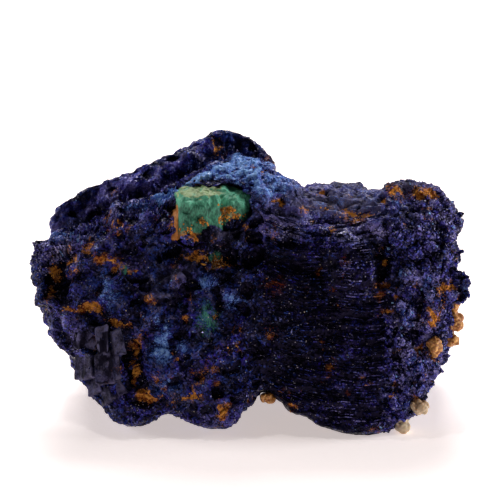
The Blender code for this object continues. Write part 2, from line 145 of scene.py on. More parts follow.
def smoothstep(low, high, values):
    share = np.clip((values - low) / (high - low), 0.0, 1.0)
    return share * share * (3 - 2 * share)


def noise_at(points, size, seed=0.0):
    """Smooth noise from -1 to 1 whose lumps are about size millimetres across."""
    shift = Vector((seed, seed * 1.7, -seed))
    return np.array([noise.noise(Vector(point) / size + shift) for point in points])


def cells_at(points, size, seed):
    """A surface broken into cells about size across. Gives how far each point stands above the mean
    where every cell is a flat face with a tilt of its own, and how far inside its cell it lies: 0 on
    the border and about 0.5 in the middle."""
    heights, inside = np.empty(len(points)), np.empty(len(points))
    shift = Vector((seed, -seed, seed * 0.5))
    for index, point in enumerate(points):
        place = Vector(point) / size + shift
        distances, middles = noise.voronoi(place)
        slope = noise.cell_vector(middles[0] * 7.3) - Vector((0.5, 0.5, 0.5))
        heights[index] = slope.dot(place - middles[0]) * 2 + noise.cell(middles[0] * 3.1) * 0.35
        inside[index] = distances[1] - distances[0]
    return heights, inside


def fanned(points):
    """The points laid out round the root of the rosette, with the distance from it shortened, so that
    what is drawn on them comes out long and narrow and fans out from there."""
    across, back, up = (points - FAN_ROOT).T
    return np.stack([np.arctan2(across, -up) * FAN_SPREAD, back, np.hypot(across, up) * 0.5], axis=1)


def ragged_shifts(points):
    """Sideways shifts that make the edges of patches on the face uneven."""
    return [
        0.40 * noise_at(points, 1.1, seed) + 0.25 * noise_at(points, 0.4, seed + 6) for seed in (31, 41)
    ]


def patches(points, spots, shifts):
    """How strongly each point is covered by patches on the display face. Each is an oval with a ragged
    edge: across, up, half width, half height, strength."""
    across, up = points[:, 0] + shifts[0], points[:, 2] + shifts[1]
    cover = np.zeros(len(points))
    for middle_across, middle_up, half_across, half_up, strength in spots:
        far = ((across - middle_across) / half_across) ** 2 + ((up - middle_up) / half_up) ** 2
        cover = np.maximum(cover, strength * np.exp(-0.8 * far))
    return cover


def near_line(points, line, width, shifts=(0.0, 0.0)):
    """1 on an open line drawn on the display face, fading to nothing over width to either side."""
    places = np.stack([points[:, 0] + shifts[0], points[:, 2] + shifts[1]], axis=1)
    nearest = np.full(len(points), np.inf)
    for start, end in zip(np.array(line[:-1]), np.array(line[1:])):
        run = end - start
        share = np.clip((places - start) @ run / (run @ run), 0.0, 1.0)
        away = places - start - share[:, None] * run
        nearest = np.minimum(nearest, np.linalg.norm(away, axis=1))
    return np.exp(-((nearest / width) ** 2))


# Up the face, and how far across it the barrel ends there.
BARREL_END = [
    (0.0, 12.2), (3.8, 12.3), (7.1, 13.2), (10.5, 12.4), (13.2, 13.7), (14.4, 12.2), (18.0, 12.8),
]  # fmt: skip


def past_barrel(points):
    """How far across each point lies beyond the ragged right end of the barrel."""
    end = np.interp(points[:, 2], *np.array(BARREL_END).T)
    return points[:, 0] - end + 0.7 * noise_at(points, 1.4, 83.0)


def on_barrel(points):
    """1 on the near side of the barrel of plates, 0 away from it."""
    across, back, up = points.T
    share = smoothstep(0.2, 2.6, across) * (1 - smoothstep(-0.8, 0.5, past_barrel(points)))
    return share * (1 - smoothstep(5.0, 9.0, back)) * (1 - 0.5 * smoothstep(20.0, 21.5, up))


def plate_curve(level, across):
    """How far a plate of the barrel rises above its level at a place across the face."""
    bend = np.interp(level, (0.0, 4.0, 9.0, 14.0, 19.0), (0.05, 0.03, 0.014, 0.014, 0.035))
    lowest = np.interp(level, (0.0, 13.0, 18.0), (10.0, 10.0, 7.5))
    return bend * (across - lowest) ** 2


# Patches on the display face: across, up, half width, half height, strength.
HOLLOWS = [
    (-13.6, 6.6, 2.0, 3.2, 0.5),
    (-17.8, 15.0, 0.9, 2.0, 1.0), (-2.6, 16.9, 2.6, 0.6, 0.8), (-2.2, 19.2, 1.9, 0.7, 0.6),
    (-10.9, 7.4, 0.5, 1.6, 1.0), (-9.9, 3.4, 1.0, 0.8, 0.6), (-14.9, 13.0, 0.9, 0.5, 0.6),
    (0.6, 17.8, 0.8, 1.6, 0.6), (12.7, 15.6, 0.4, 2.2, 0.6), (15.9, 12.8, 0.6, 1.8, 0.7),
    (-6.2, 14.9, 0.5, 1.4, 0.5), (2.2, 5.4, 1.0, 1.2, 0.5), (14.0, 7.2, 0.5, 2.6, 0.4),
]  # fmt: skip

BROKEN_FACES = [
    (-14.7, 9.6, 1.0, 1.2, 1.2), (-13.3, 8.8, 0.9, 1.3, 1.2), (-15.0, 7.0, 1.1, 1.4, 1.2),
    (-12.8, 7.0, 0.9, 1.2, 1.2), (-13.3, 5.3, 1.3, 1.2, 1.2), (-13.8, 3.6, 1.0, 1.2, 1.2),
    (-12.2, 3.4, 0.9, 1.0, 1.0), (-6.6, 15.2, 1.3, 0.6, 0.8), (-2.6, 18.9, 2.2, 0.5, 0.8),
    (-5.5, 16.6, 0.8, 0.5, 0.7), (-8.3, 13.4, 0.9, 0.5, 0.7),
]  # fmt: skip
WORN = [
    (-17.0, 6.6, 2.4, 2.6, 0.65), (-15.6, 4.4, 1.6, 1.8, 0.55), (17.8, 4.9, 1.3, 1.8, 0.5),
    (16.2, 2.4, 0.9, 1.0, 0.4), (0.6, 3.4, 1.2, 0.9, 0.45), (12.6, 23.8, 1.1, 0.8, 0.36),
    (-7.6, 1.6, 1.2, 0.8, 0.4), (-16.4, 23.6, 2.6, 1.6, 0.35), (-10.4, 25.6, 2.4, 1.2, 0.35),
]  # fmt: skip
# Painted sheen: grey on the barrel's top, where its upward faces catch the light above.
PAINTED_TOP_SHEEN = [(8.0, 22.0, 5.0, 1.3, 0.85), (3.6, 20.8, 2.6, 0.7, 0.5), (15.0, 23.6, 1.6, 0.6, 0.8)]
CREST_EDGE = [
    (-18.3, 19.2), (-16.7, 19.3), (-14.8, 20.2), (-13.4, 21.3), (-11.7, 22.1), (-9.5, 22.5),
    (-7.9, 23.2), (-6.7, 24.1), (-5.1, 24.9), (-3.2, 26.0), (-0.8, 27.0), (1.0, 26.4), (3.0, 24.6),
]  # fmt: skip
RIDGE = [(-9.3, 12.9), (-8.2, 14.3), (-6.3, 15.8), (-5.1, 16.3)]
BLADE_ROLL = [(-13.1, 22.7), (-11.5, 23.5), (-8.8, 24.6), (-6.9, 25.6), (-5.3, 26.4)]

skin = copy_on_face("azurite_mass", "azurite_skin")
apply_modifier(skin, "REMESH", mode="VOXEL", voxel_size=SKIN_VOXEL)
apply_modifier(skin, "TRIANGULATE")

points, _ = read_points(skin)
end = skin.vertex_groups.new(name="right_end")
end.add(np.flatnonzero((points[:, 0] > 12.6) & (above_table(points) > 1.0)).tolist(), 1.0, "REPLACE")
apply_modifier(skin, "SMOOTH", factor=0.8, iterations=22, vertex_group="right_end")
skin.vertex_groups.clear()
points, normals = read_points(skin)
clear = smoothstep(0.0, 1.2, above_table(points))
plates = on_barrel(points)
right_end = smoothstep(-0.4, 0.6, past_barrel(points))
blade = smoothstep(6.0, 7.5, points[:, 1]) * smoothstep(17.0, 19.0, points[:, 2])
in_front = 1 - smoothstep(3.5, 6.0, points[:, 1])
below_crest = np.interp(points[:, 0], *np.array(CREST_EDGE).T) - points[:, 2]
rounding = (1 - np.clip(below_crest / 3.2, 0.0, 1.0)) ** 2 * smoothstep(-18.0, -16.0, points[:, 0])
rounding *= in_front * (1 - smoothstep(1.0, 3.0, points[:, 0]))
shifts = ragged_shifts(points)
rosette = (points[:, 0] + 2.5 * shifts[0] < 0.8) & (points[:, 1] < 7.0)
fan = np.where(rosette[:, None], fanned(points), points * (1.0, 1.0, 0.65))
fan = np.where(right_end[:, None] > 0.5, points * (1.2, 1.2, 1.1), fan)
broken = patches(points, BROKEN_FACES, shifts)
flats, flat_inside = cells_at(points * (1.0, 1.0, 0.6), 1.9, 63.0)
lobes, lobe_inside = cells_at(fan, 1.7, 3.0)
_, knob_inside = cells_at(points, 0.8, 23.0)
faces_viewer = smoothstep(0.0, 0.6, -normals[:, 1])
lumps = 0.22 * lobes + 0.55 * (smoothstep(0.0, 0.5, lobe_inside) - 0.7)
moves = (1 - 0.9 * plates) * (1 - 0.7 * blade) * lumps
moves += (1 - 0.8 * plates) * 0.11 * (smoothstep(0.0, 0.45, knob_inside) - 0.6)
moves += 0.25 * blade * noise_at(points, 1.2, 29.0)
split = 1 - smoothstep(0.0, 0.10, flat_inside)
moves = moves * (1 - broken) + (1.2 * flats - 0.5 * split) * broken
moves += 0.8 * blade * near_line(points, BLADE_ROLL, 0.8)
ridge = near_line(points, RIDGE, 0.28) * in_front
moves = moves * (1 - 0.6 * ridge) + 0.55 * ridge
moves -= 0.9 * faces_viewer * patches(points, HOLLOWS, shifts)
moves += 0.22 * right_end
pits = smoothstep(0.34, 0.52, noise_at(points, 1.5, 17.0))
moves -= 0.45 * (1 - 0.7 * plates) * (1 - right_end) * pits
level = points[:, 2] - plate_curve(points[:, 2], points[:, 0]) + 0.4 * noise_at(points, 3.0, 5.0)
ledge = (level / 1.25) % 1.0
barrel_top = smoothstep(17.5, 19.5, points[:, 2])
moves += plates * (0.45 * barrel_top * (ledge - 0.5) + 0.22 * noise_at(points * (0.5, 1.0, 1.6), 1.2, 19.0))
across, up = points[:, 0] + shifts[0] * 1.5, points[:, 2] + shifts[1] * 1.5
tablet = smoothstep(6.7, 7.5, across) * (1 - smoothstep(11.2, 12.1, across))
tablet *= smoothstep(12.4, 13.4, up) * (1 - smoothstep(18.0, 19.0, up))
moves += 0.45 * tablet * faces_viewer
moves -= 0.10 + patches(points, WORN, shifts)
points[:, 1] += 1.4 * rounding
write_points(skin, points + normals * (moves * clear)[:, None])

points, skin_outward = read_points(skin)
facets, _ = cells_at(points, 0.5, 8.0)
heights = 0.10 * facets + 0.05 * noise_at(points, 0.4, 13.0)
heights *= clear * (1 - 0.5 * plates) * (1 - 0.3 * blade) * (1 - 0.85 * np.minimum(broken, 1.0))
write_points(skin, points + skin_outward * heights[:, None])

# How deep each point lies in the creases: below a worn-down copy of the skin.
worn = skin.copy()
worn.data = skin.data.copy()
bpy.context.scene.collection.objects.link(worn)
apply_modifier(worn, "SMOOTH", factor=0.8, iterations=40)
worn_points, _ = read_points(worn)
bpy.data.objects.remove(worn)
skin_points, _ = read_points(skin)
skin_recess = ((worn_points - skin_points) * skin_outward).sum(axis=1)
nearby = KDTree(len(skin_points))
for index, point in enumerate(skin_points):
    nearby.insert(point, index)
nearby.balance()


def recess_at(points):
    return skin_recess[[nearby.find(point)[1] for point in points]]


def edit_points(obj, chosen):
    """Opens a piece for editing with the chosen points selected, and what lies between them."""
    ends = np.empty(len(obj.data.edges) * 2, np.int32)
    obj.data.edges.foreach_get("vertices", ends)
    faces = np.array([face.vertices[:] for face in obj.data.polygons])
    obj.data.vertices.foreach_set("select", chosen)
    obj.data.edges.foreach_set("select", chosen[ends.reshape(-1, 2)].all(axis=1))
    obj.data.polygons.foreach_set("select", chosen[faces].all(axis=1))
    select_only(obj)
    bpy.context.tool_settings.mesh_select_mode = (True, False, False)
    bpy.ops.object.mode_set(mode="EDIT")


def thin_out(obj, chosen, ratio):
    """Merges faces between the chosen points until that share of them is left."""
    edit_points(obj, chosen)
    bpy.ops.mesh.decimate(ratio=ratio)
    bpy.ops.object.mode_set(mode="OBJECT")


FOLD_COSINE = -0.2  # between neighbouring faces, below which one of them has turned over


def ease_folds(obj, rounds):
    """Smooths the points of faces that the relief has turned over against their neighbours."""
    for _ in range(rounds):
        shape = bmesh.new()
        shape.from_mesh(obj.data)
        folded = np.zeros(len(shape.verts), bool)
        for edge in shape.edges:
            one, other = edge.link_faces
            if one.normal.dot(other.normal) < FOLD_COSINE:
                folded[[point.index for face in (one, other) for point in face.verts]] = True
        shape.free()
        edit_points(obj, folded)
        bpy.ops.mesh.vertices_smooth(factor=0.5, repeat=3)
        bpy.ops.object.mode_set(mode="OBJECT")


# The sides away from the viewer keep less of their smallest detail than the near ones.
hidden = (skin_points[:, 1] > 7.0) & (skin_points[:, 2] < 17.0) | (skin_points[:, 1] > 14.0)
thin_out(skin, hidden | (above_table(skin_points) < 0.2), 0.3)
points, _ = read_points(skin)
thin_out(skin, (points[:, 1] < 14.0) & (above_table(points) > 0.2), 0.84)
ease_folds(skin, 4)
skin_points, skin_outward = read_points(skin)
skin_faces = np.array([face.vertices[:] for face in skin.data.polygons])
skin_tree = BVHTree.FromObject(skin, bpy.context.evaluated_depsgraph_get())

# ---------------------------------------------------------------- azurite and what stains it
# Azurite is a basic copper carbonate: hard glassy faces of a blue so deep that it looks black in
# shade, violet where thin edges let light through, pale where it grew as a fine powder. It weathers:
# rusty iron oxide settles in the hollows, and malachite takes its place in green patches.

AZURITE_IOR = 1.76
BLACK_BLUE = "#06050b"
NAVY = "#1b2b68"
INDIGO = "#31268e"
SLATE = "#585264"
VIOLET_EDGE_HIGHLIGHT = "#9c94c8"
CLEAR_BLUE = "#355dc6"
POWDER_DEEP = "#5c83c4"
POWDER_BLUE = "#88aad4"
STAIN_GREEN = "#43876d"
# near-white painted highlight for single facets
PAINTED_GLINT = "#d0c8da"
FACET = 0.17  # millimetres across one of the smallest crystal faces
RUST_DARK = "#67280f"
RUST_BRIGHT = "#de953c"
VIOLET_GLOSS = "#b0a0f4"

RUST = [
    (-12.6, 19.9, 0.8, 0.6, 0.9), (-15.0, 17.8, 0.6, 0.6, 0.8), (-13.4, 16.9, 1.2, 0.5, 1.1),
    (-15.9, 16.3, 0.5, 0.3, 0.6), (-18.1, 15.7, 0.3, 0.8, 1.3), (-10.8, 15.5, 0.4, 0.3, 0.8),
    (-9.1, 12.9, 0.5, 0.5, 1.0), (-5.1, 18.8, 0.6, 0.3, 1.1), (-5.0, 16.9, 1.4, 0.5, 0.95),
    (-2.9, 16.2, 1.5, 0.35, 1.0), (-0.3, 19.7, 0.35, 0.5, 0.7), (-6.8, 16.0, 0.9, 0.4, 0.5),
    (-1.7, 28.4, 0.5, 0.2, 0.9), (-15.2, 21.9, 0.5, 0.6, 0.5), (-7.2, 20.2, 0.3, 1.2, 0.6),
    (6.9, 22.9, 0.3, 0.4, 1.0), (13.7, 23.1, 0.6, 0.7, 1.3), (16.4, 22.8, 1.2, 0.55, 1.3),
    (12.8, 21.8, 0.4, 0.3, 0.9), (17.1, 21.5, 0.7, 0.3, 0.8), (16.9, 20.4, 0.5, 0.3, 0.9),
    (9.9, 20.7, 1.7, 0.6, 0.85), (6.9, 21.5, 1.6, 0.25, 0.75), (7.8, 19.4, 0.5, 0.4, 1.1),
    (9.5, 22.6, 0.5, 0.4, 0.6), (12.5, 16.3, 0.3, 0.4, 0.8), (12.7, 14.1, 1.0, 0.35, 0.85),
    (13.7, 13.2, 0.4, 0.25, 0.9), (7.9, 13.8, 0.3, 0.4, 0.8), (3.0, 13.6, 0.4, 0.3, 0.7),
    (1.6, 14.8, 0.3, 0.3, 0.6), (17.2, 11.6, 0.45, 1.3, 1.1), (18.4, 13.8, 1.1, 0.8, 0.8),
    (-16.9, 12.1, 0.9, 0.35, 0.8), (-14.9, 12.2, 1.4, 0.42, 0.95), (-11.9, 10.8, 0.9, 0.4, 1.0),
    (-10.2, 9.6, 0.5, 0.6, 0.8), (-10.6, 6.4, 0.25, 1.5, 1.0), (-9.4, 3.9, 1.2, 0.5, 1.0),
    (-8.4, 5.3, 0.3, 0.3, 0.7), (-5.0, 6.2, 0.8, 0.4, 0.7), (-4.9, 4.9, 0.4, 0.3, 0.8),
    (-5.2, 3.9, 0.9, 0.5, 0.9), (-7.2, 5.9, 0.4, 0.6, 0.6), (-2.4, 2.5, 0.5, 1.0, 1.3),
    (-1.7, 8.6, 1.5, 0.6, 0.6), (-1.1, 10.1, 0.7, 0.5, 0.5), (-5.8, 11.3, 0.3, 0.4, 0.7),
    (4.1, 2.9, 0.5, 0.4, 1.1), (6.7, 9.2, 0.4, 0.3, 0.9), (4.7, 4.5, 0.3, 0.4, 0.7),
    (9.3, 4.2, 0.4, 0.4, 0.55), (13.6, 5.2, 0.3, 0.4, 0.9), (13.7, 4.1, 0.35, 0.35, 1.0),
    (15.6, 3.7, 0.4, 0.35, 0.9), (12.9, 11.8, 0.6, 0.3, 0.6), (-18.6, 13.2, 0.9, 1.3, 0.5),
]  # fmt: skip
# Pale powder. The first three rows pale the hump: its own pale blue, and partly painted light where it
# faces up to the light above.
POWDER = [
    (-0.6, 25.3, 2.6, 1.9, 0.88), (-2.8, 24.6, 1.8, 0.9, 0.65), (2.0, 23.6, 2.8, 1.8, 0.62),
    (-10.5, 21.4, 2.6, 0.9, 0.45), (-1.0, 22.9, 1.6, 0.9, 0.4), (0.3, 21.0, 1.3, 1.2, 0.3),
    (-13.4, 13.8, 1.7, 2.0, 0.45), (-8.2, 10.6, 0.9, 1.1, 0.65), (-8.1, 8.4, 1.1, 1.4, 0.85),
    (-6.3, 8.7, 0.8, 0.8, 0.6), (-4.3, 14.4, 1.2, 1.0, 0.55), (-1.4, 12.6, 1.6, 0.9, 0.55),
    (-7.6, 4.8, 1.0, 0.8, 0.55), (-17.4, 18.8, 1.8, 0.8, 0.5), (-12.6, 21.6, 3.0, 0.7, 0.35),
    (0.2, 14.0, 1.2, 0.5, 0.4), (-6.7, 12.6, 0.7, 0.6, 0.4),
    (14.6, 11.6, 1.3, 3.6, 0.3), (15.4, 6.6, 1.0, 1.6, 0.3), (8.0, 21.8, 4.5, 1.2, 0.35),
    (15.2, 5.9, 0.8, 0.9, 0.4), (14.0, 15.4, 0.6, 0.6, 0.4), (16.5, 14.6, 0.6, 1.5, 0.35),
    (14.0, 21.9, 1.2, 0.6, 0.4), (6.0, 20.7, 2.6, 0.7, 0.3), (11.0, 22.8, 2.4, 0.8, 0.3),
    (3.6, 12.6, 1.4, 0.5, 0.25), (2.2, 16.9, 1.6, 0.4, 0.3), (-5.0, 12.0, 6.0, 6.0, 0.14),
]  # fmt: skip
GREEN = [
    (-3.9, 11.1, 1.2, 1.8, 0.8), (-3.3, 16.8, 0.6, 0.6, 1.0), (-11.6, 15.9, 0.4, 0.4, 1.1),
    (-12.9, 13.6, 1.2, 1.6, 0.35), (2.7, 24.4, 1.3, 0.9, 0.3), (10.0, 21.6, 3.2, 1.0, 0.25),
    (-5.1, 18.9, 0.8, 0.6, 0.5), (-0.6, 24.2, 0.8, 0.5, 0.3), (4.4, 20.6, 2.4, 0.8, 0.25),
]  # fmt: skip
# Violet patches: a violet tint; where strong, the brighter crystals take painted violet highlights and
# painted glints.
VIOLET = [
    (15.2, 9.8, 3.2, 5.0, 1.0), (17.4, 20.6, 2.4, 3.0, 0.9), (10.0, 16.2, 2.4, 3.4, 0.8),
    (-18.0, 18.4, 2.4, 1.6, 1.3), (-12.0, 21.3, 5.0, 1.0, 1.0), (-11.0, 23.6, 9.0, 3.0, 0.8),
    (-17.6, 9.0, 2.2, 3.6, 0.6), (-16.4, 9.6, 0.8, 1.4, 1.3), (9.0, 2.0, 6.0, 1.4, 0.7),
    (3.0, 19.8, 3.0, 1.6, 0.3), (-4.0, 1.8, 6.0, 1.4, 0.4),
    (11.6, 19.3, 3.0, 0.8, 0.6), (16.4, 14.4, 2.6, 2.6, 0.6),
    (11.4, 8.0, 3.4, 5.0, 0.45),
]  # fmt: skip
# Painted shade: the blue is darkened here as if in shade, and only single facets stay bright.
PAINTED_SHADE = [
    (-13.9, 6.8, 2.4, 3.2, 0.7), (3.6, 9.0, 3.4, 8.6, 1.0), (6.5, 11.0, 5.0, 7.0, 0.8),
    (-18.2, 14.4, 1.4, 2.6, 1.0), (-12.8, 6.6, 2.6, 3.6, 0.15), (0.2, 8.0, 2.6, 5.6, 0.8),
    (13.8, 17.8, 2.4, 1.8, 0.6), (17.6, 17.2, 1.0, 1.2, 0.5), (-10.5, 2.6, 2.4, 2.0, 0.7),
    (-2.8, 17.4, 3.0, 1.2, 0.9), (7.6, 6.6, 3.4, 3.0, 0.55), (8.6, 10.0, 3.4, 3.0, 0.5),
]  # fmt: skip
POWDER_STREAK = [(-8.4, 22.4), (-6.6, 23.4), (-4.9, 24.4), (-3.2, 25.3), (-1.8, 26.3)]
GROOVE = [(across, up + 0.6) for across, up in CREST_EDGE[1:]]


def mineral_cover(points):
    """How strongly each point is covered by rust, powder, green, violet, painted shade and slate grey,
    which on the barrel's top is painted sheen, how even its colour is, and how deep it lies in a crease.
    The side away from the viewer has patches of its own, placed by noise."""
    shifts = ragged_shifts(points)
    near = 1 - smoothstep(9.0, 12.0, points[:, 1] + 0.25 * (points[:, 2] - 24.0))
    broken = smoothstep(-0.35, 0.25, noise_at(points, 0.55, 77.0))
    streaked = smoothstep(-0.3, 0.3, noise_at(points * (1.6, 1.0, 0.7), 0.7, 79.0))
    crumbs = smoothstep(0.10, 0.60, noise_at(points, 2.2, 57.0)) * 0.5
    far = {
        "rust": smoothstep(0.25, 0.6, noise_at(points, 3.0, 51.0)) * 0.8,
        "powder": smoothstep(0.2, 0.7, noise_at(points, 4.6, 61.0)) * 0.45,
        "green": smoothstep(0.35, 0.7, noise_at(points, 3.8, 67.0)) * 0.6,
        "violet": smoothstep(-0.2, 0.5, noise_at(points, 5.0, 71.0)) * 0.5,
        "shade": 0.0,
        # painted sheen: the barrel's top is greyed on the far side too
        "slate": 0.7 * smoothstep(1.0, 3.0, points[:, 0]) * smoothstep(17.5, 19.0, points[:, 2]),
    }
    cover = {}
    slate_and_sheen_spots = BROKEN_FACES[7:] + PAINTED_TOP_SHEEN
    for name, spots in zip(far, (RUST, POWDER, GREEN, VIOLET, PAINTED_SHADE, slate_and_sheen_spots)):
        cover[name] = patches(points, spots, shifts) * near + (1 - near) * far[name]
    behind = smoothstep(3.5, 6.0, points[:, 1])
    # Painted shade along the groove behind the crest, where it would lie in shadow; the ridge is darkened
    # the same way.
    groove_shade = near_line(points, GROOVE, 0.75, shifts) * behind
    streak = near_line(points, POWDER_STREAK, 0.65, shifts) * (1 - behind)
    ridge = near_line(points, RIDGE, 0.3) * (1 - behind)
    cover["slate"] = np.maximum(cover["slate"], 0.5 * ridge)
    cover["shade"] = np.maximum(cover["shade"], np.maximum(groove_shade, 0.8 * ridge))
    cover["powder"] = np.maximum(cover["powder"], streak) * (1 - 0.9 * groove_shade)
    blade = smoothstep(6.0, 7.5, points[:, 1]) * smoothstep(17.0, 19.0, points[:, 2])
    blade *= 1 - smoothstep(2.5, 4.0, points[:, 0])
    saddle = smoothstep(5.0, 7.0, points[:, 1]) * smoothstep(16.0, 17.5, points[:, 2])
    saddle *= smoothstep(-6.0, -4.0, points[:, 0])
    cover["slate"] = np.maximum(cover["slate"], 0.5 * saddle * (1 - blade) * (1 - cover["powder"]))
    cover["even"] = np.maximum(cover["slate"], np.maximum(0.6 * blade, 0.9 * saddle))
    cover["recess"] = recess_at(points)
    deep = np.clip(cover["recess"], -0.15, 0.25)
    cover["rust"] = np.maximum(cover["rust"], crumbs) * (0.35 + 0.75 * broken) * (1 + 2.2 * deep)
    cover["powder"] *= (0.8 + 0.35 * streaked) * (1 - 2.0 * deep)
    cover["green"] *= 0.75 + 0.35 * streaked
    return cover


def record_cover(mesh, cover):
    for name, values in cover.items():
        attribute = mesh.attributes.new(name, "FLOAT", "POINT")
        attribute.data.foreach_set("value", values.astype(np.float32))


def linear(hex_colour):
    """An sRGB hex value as a linear colour with alpha."""
    parts = [int(hex_colour[index : index + 2], 16) / 255 for index in (1, 3, 5)]
    return (*[c / 12.92 if c <= 0.04045 else ((c + 0.055) / 1.055) ** 2.4 for c in parts], 1.0)


def add_node(tree, kind, inputs=(), out=0, **settings):
    """Adds a node and gives one of its outputs. Its inputs are listed in order, or by place or name:
    a socket is linked, and any other value is set."""
    made = tree.nodes.new("ShaderNode" + kind)
    for name, value in settings.items():
        setattr(made, name, value)
    for key, value in inputs.items() if isinstance(inputs, dict) else enumerate(inputs):
        if isinstance(value, bpy.types.NodeSocket):
            tree.links.new(value, made.inputs[key])
        else:
            made.inputs[key].default_value = value
    return made.outputs[out]


def new_material(name, ior, specular):
    """A material with its shader and the object coordinates that its patterns read."""
    material = bpy.data.materials.new(name)
    material.use_nodes = True
    tree = material.node_tree
    shader = tree.nodes["Principled BSDF"]
    shader.inputs["IOR"].default_value = ior
    shader.inputs["Specular IOR Level"].default_value = specular
    return material, tree, shader, add_node(tree, "TexCoord", out="Object")


def glitter(tree, shader, place, size, tilt):
    """Splits a surface into flat facets of the given size in millimetres, each tilted its own way.
    Gives three numbers from 0 to 1 that are the same all over each facet, and how far each place is
    from its facet's middle."""
    draw = add_node(tree, "TexVoronoi", {"Vector": place, "Scale": 1 / (size * MM)}, "Color")
    own = add_node(tree, "VectorMath", (draw, (0.5, 0.5, 0.5)), operation="SUBTRACT")
    own = add_node(tree, "VectorMath", {0: own, "Scale": tilt}, operation="SCALE")
    normal = add_node(tree, "NewGeometry", out="Normal")
    turned = add_node(tree, "VectorMath", (normal, own), operation="ADD")
    turned = add_node(tree, "VectorMath", (turned,), operation="NORMALIZE")
    tree.links.new(turned, shader.inputs["Normal"])
    numbers = add_node(tree, "SeparateXYZ", (draw,)).node.outputs
    return *numbers, draw.node.outputs["Distance"]


def azurite_material():
    """Glassy crystal faces, almost black, under what stains them. They catch the light one by one,
    partly as painted glints, and painted shade darkens them in creases and shaded patches.
    """
    material, tree, shader, place = new_material("azurite_crystal_faces", AZURITE_IOR, 0.08)
    shader.inputs["Specular Tint"].default_value = linear(VIOLET_GLOSS)
    slate, shade, violet, own_gleam, recess, even, powdery, greenish, rust_cover = (
        add_node(tree, "Attribute", out="Fac", attribute_name=name)
        for name in ("slate", "shade", "violet", "gleam", "recess", "even", "powder", "green", "rust")
    )
    fine, mottled, coarse, broad = (
        add_node(tree, "TexNoise", {"Vector": place, "Scale": 1 / (size * MM), "Detail": detail})
        for size, detail in ((0.16, 3.0), (0.35, 2.0), (0.7, 2.0), (2.4, 2.0))
    )
    tilt = add_node(tree, "MapRange", (slate, 0.0, 0.8, 0.6, 0.12))
    bright, blue, spark, off_middle = glitter(tree, shader, place, FACET, tilt)
    flutter = add_node(tree, "MapRange", (fine, 0.3, 0.7, -0.15, 0.15))
    gleam = add_node(tree, "Math", (own_gleam, flutter), operation="ADD")

    # Each crystal's own chance of being stained, frayed a little at its edges.
    chance = add_node(tree, "Math", (own_gleam, 17.3), operation="MULTIPLY")
    chance = add_node(tree, "Math", (chance,), operation="FRACT")
    fraying = add_node(tree, "MapRange", (fine, 0.3, 0.7, -0.6, 0.6))
    chance = add_node(tree, "Math", (chance, fraying), operation="ADD")
    chance = add_node(tree, "MapRange", (chance, -0.6, 1.6, 0.06, 1.0))

    def settled(cover, full, edge):
        """Where a stain lies: on more of the crystals, the stronger its cover."""
        margin = add_node(tree, "Math", (cover, full), operation="MULTIPLY")
        margin = add_node(tree, "Math", (margin, chance), operation="SUBTRACT")
        return add_node(tree, "MapRange", (margin, 0.0, edge))

    # The blue itself: navy to indigo, duller, clearer or violet from place to place, with painted violet
    # highlights.
    hue = add_node(tree, "Math", (violet, 0.2, broad), operation="MULTIPLY_ADD")
    hue = add_node(tree, "MapRange", (hue, 0.42, 0.62))
    dusty = add_node(tree, "Math", (violet, -0.15, coarse), operation="MULTIPLY_ADD")
    dusty = add_node(tree, "Math", (shade, -0.1, dusty), operation="MULTIPLY_ADD")
    dusty = add_node(tree, "MapRange", (dusty, 0.40, 0.62, 0.0, 0.65))
    clear = add_node(tree, "MapRange", (blue, 0.6, 0.95, 0.0, 0.5))
    edge = add_node(tree, "MapRange", (gleam, 0.35, 1.0))
    edge = add_node(tree, "Math", (violet, edge), operation="MULTIPLY")
    tone = linear(NAVY)
    for share, over in (
        (hue, INDIGO), (dusty, SLATE), (clear, CLEAR_BLUE), (edge, VIOLET_EDGE_HIGHLIGHT), (slate, SLATE)
    ):  # fmt: skip
        tone = add_node(tree, "Mix", {0: share, 6: tone, 7: linear(over)}, 2, data_type="RGBA")

    # Painted shade: the blue shows least in creases and shaded patches, where only single facets stay
    # bright.
    lit = add_node(tree, "MapRange", (gleam, 0.2, 0.95, 0.04, 1.4))
    painted_crease_shade = add_node(tree, "MapRange", (recess, -0.12, 0.22, 1.25, 0.05))
    painted_shade_dim = add_node(tree, "MapRange", (shade, 0.0, 1.0, 1.0, 0.3))
    sparse = add_node(tree, "Math", (violet, 0.35, shade), operation="MULTIPLY_ADD")
    power = add_node(tree, "MapRange", (sparse, 0.0, 1.35, 2.0, 7.0))
    gain = add_node(tree, "MapRange", (sparse, 0.0, 1.35, 2.7, 8.6))
    border = add_node(tree, "MapRange", (off_middle, 0.2, 0.6, 0.35, 0.0))
    grit = add_node(tree, "Math", (bright, power), operation="POWER")
    grit = add_node(tree, "Math", (grit, gain, border), operation="MULTIPLY_ADD")
    grit = add_node(tree, "Mix", {0: even, 2: grit, 3: 1.0})
    for factor in (painted_crease_shade, painted_shade_dim, grit):
        lit = add_node(tree, "Math", (lit, factor), operation="MULTIPLY")

    # Painted highlights: single facets coloured near white, more of them in painted shade, in violet
    # patches and where the gleam is high.
    eager = add_node(tree, "MapRange", (gleam, 1.0, 1.6, 0.0, 0.25))
    eager = add_node(tree, "Math", (eager, spark), operation="ADD")
    eager = add_node(tree, "Math", (shade, 0.03, eager), operation="MULTIPLY_ADD")
    eager = add_node(tree, "Math", (violet, 0.05, eager), operation="MULTIPLY_ADD")
    flashing = add_node(tree, "MapRange", (eager, 0.955, 0.965))
    plain = add_node(tree, "MapRange", (even, 0.0, 0.7, 1.0, 0.1))
    strength = add_node(tree, "MapRange", (shade, 0.0, 1.0, 0.2, 0.75))
    strength = add_node(tree, "Math", (gleam, strength), operation="MAXIMUM")
    strength = add_node(tree, "Math", (strength, 1.0), operation="MINIMUM")
    painted_glint = add_node(tree, "MapRange", (off_middle, 0.15, 0.45, 0.9, 0.0))
    for factor in (flashing, plain, strength):
        painted_glint = add_node(tree, "Math", (painted_glint, factor), operation="MULTIPLY")

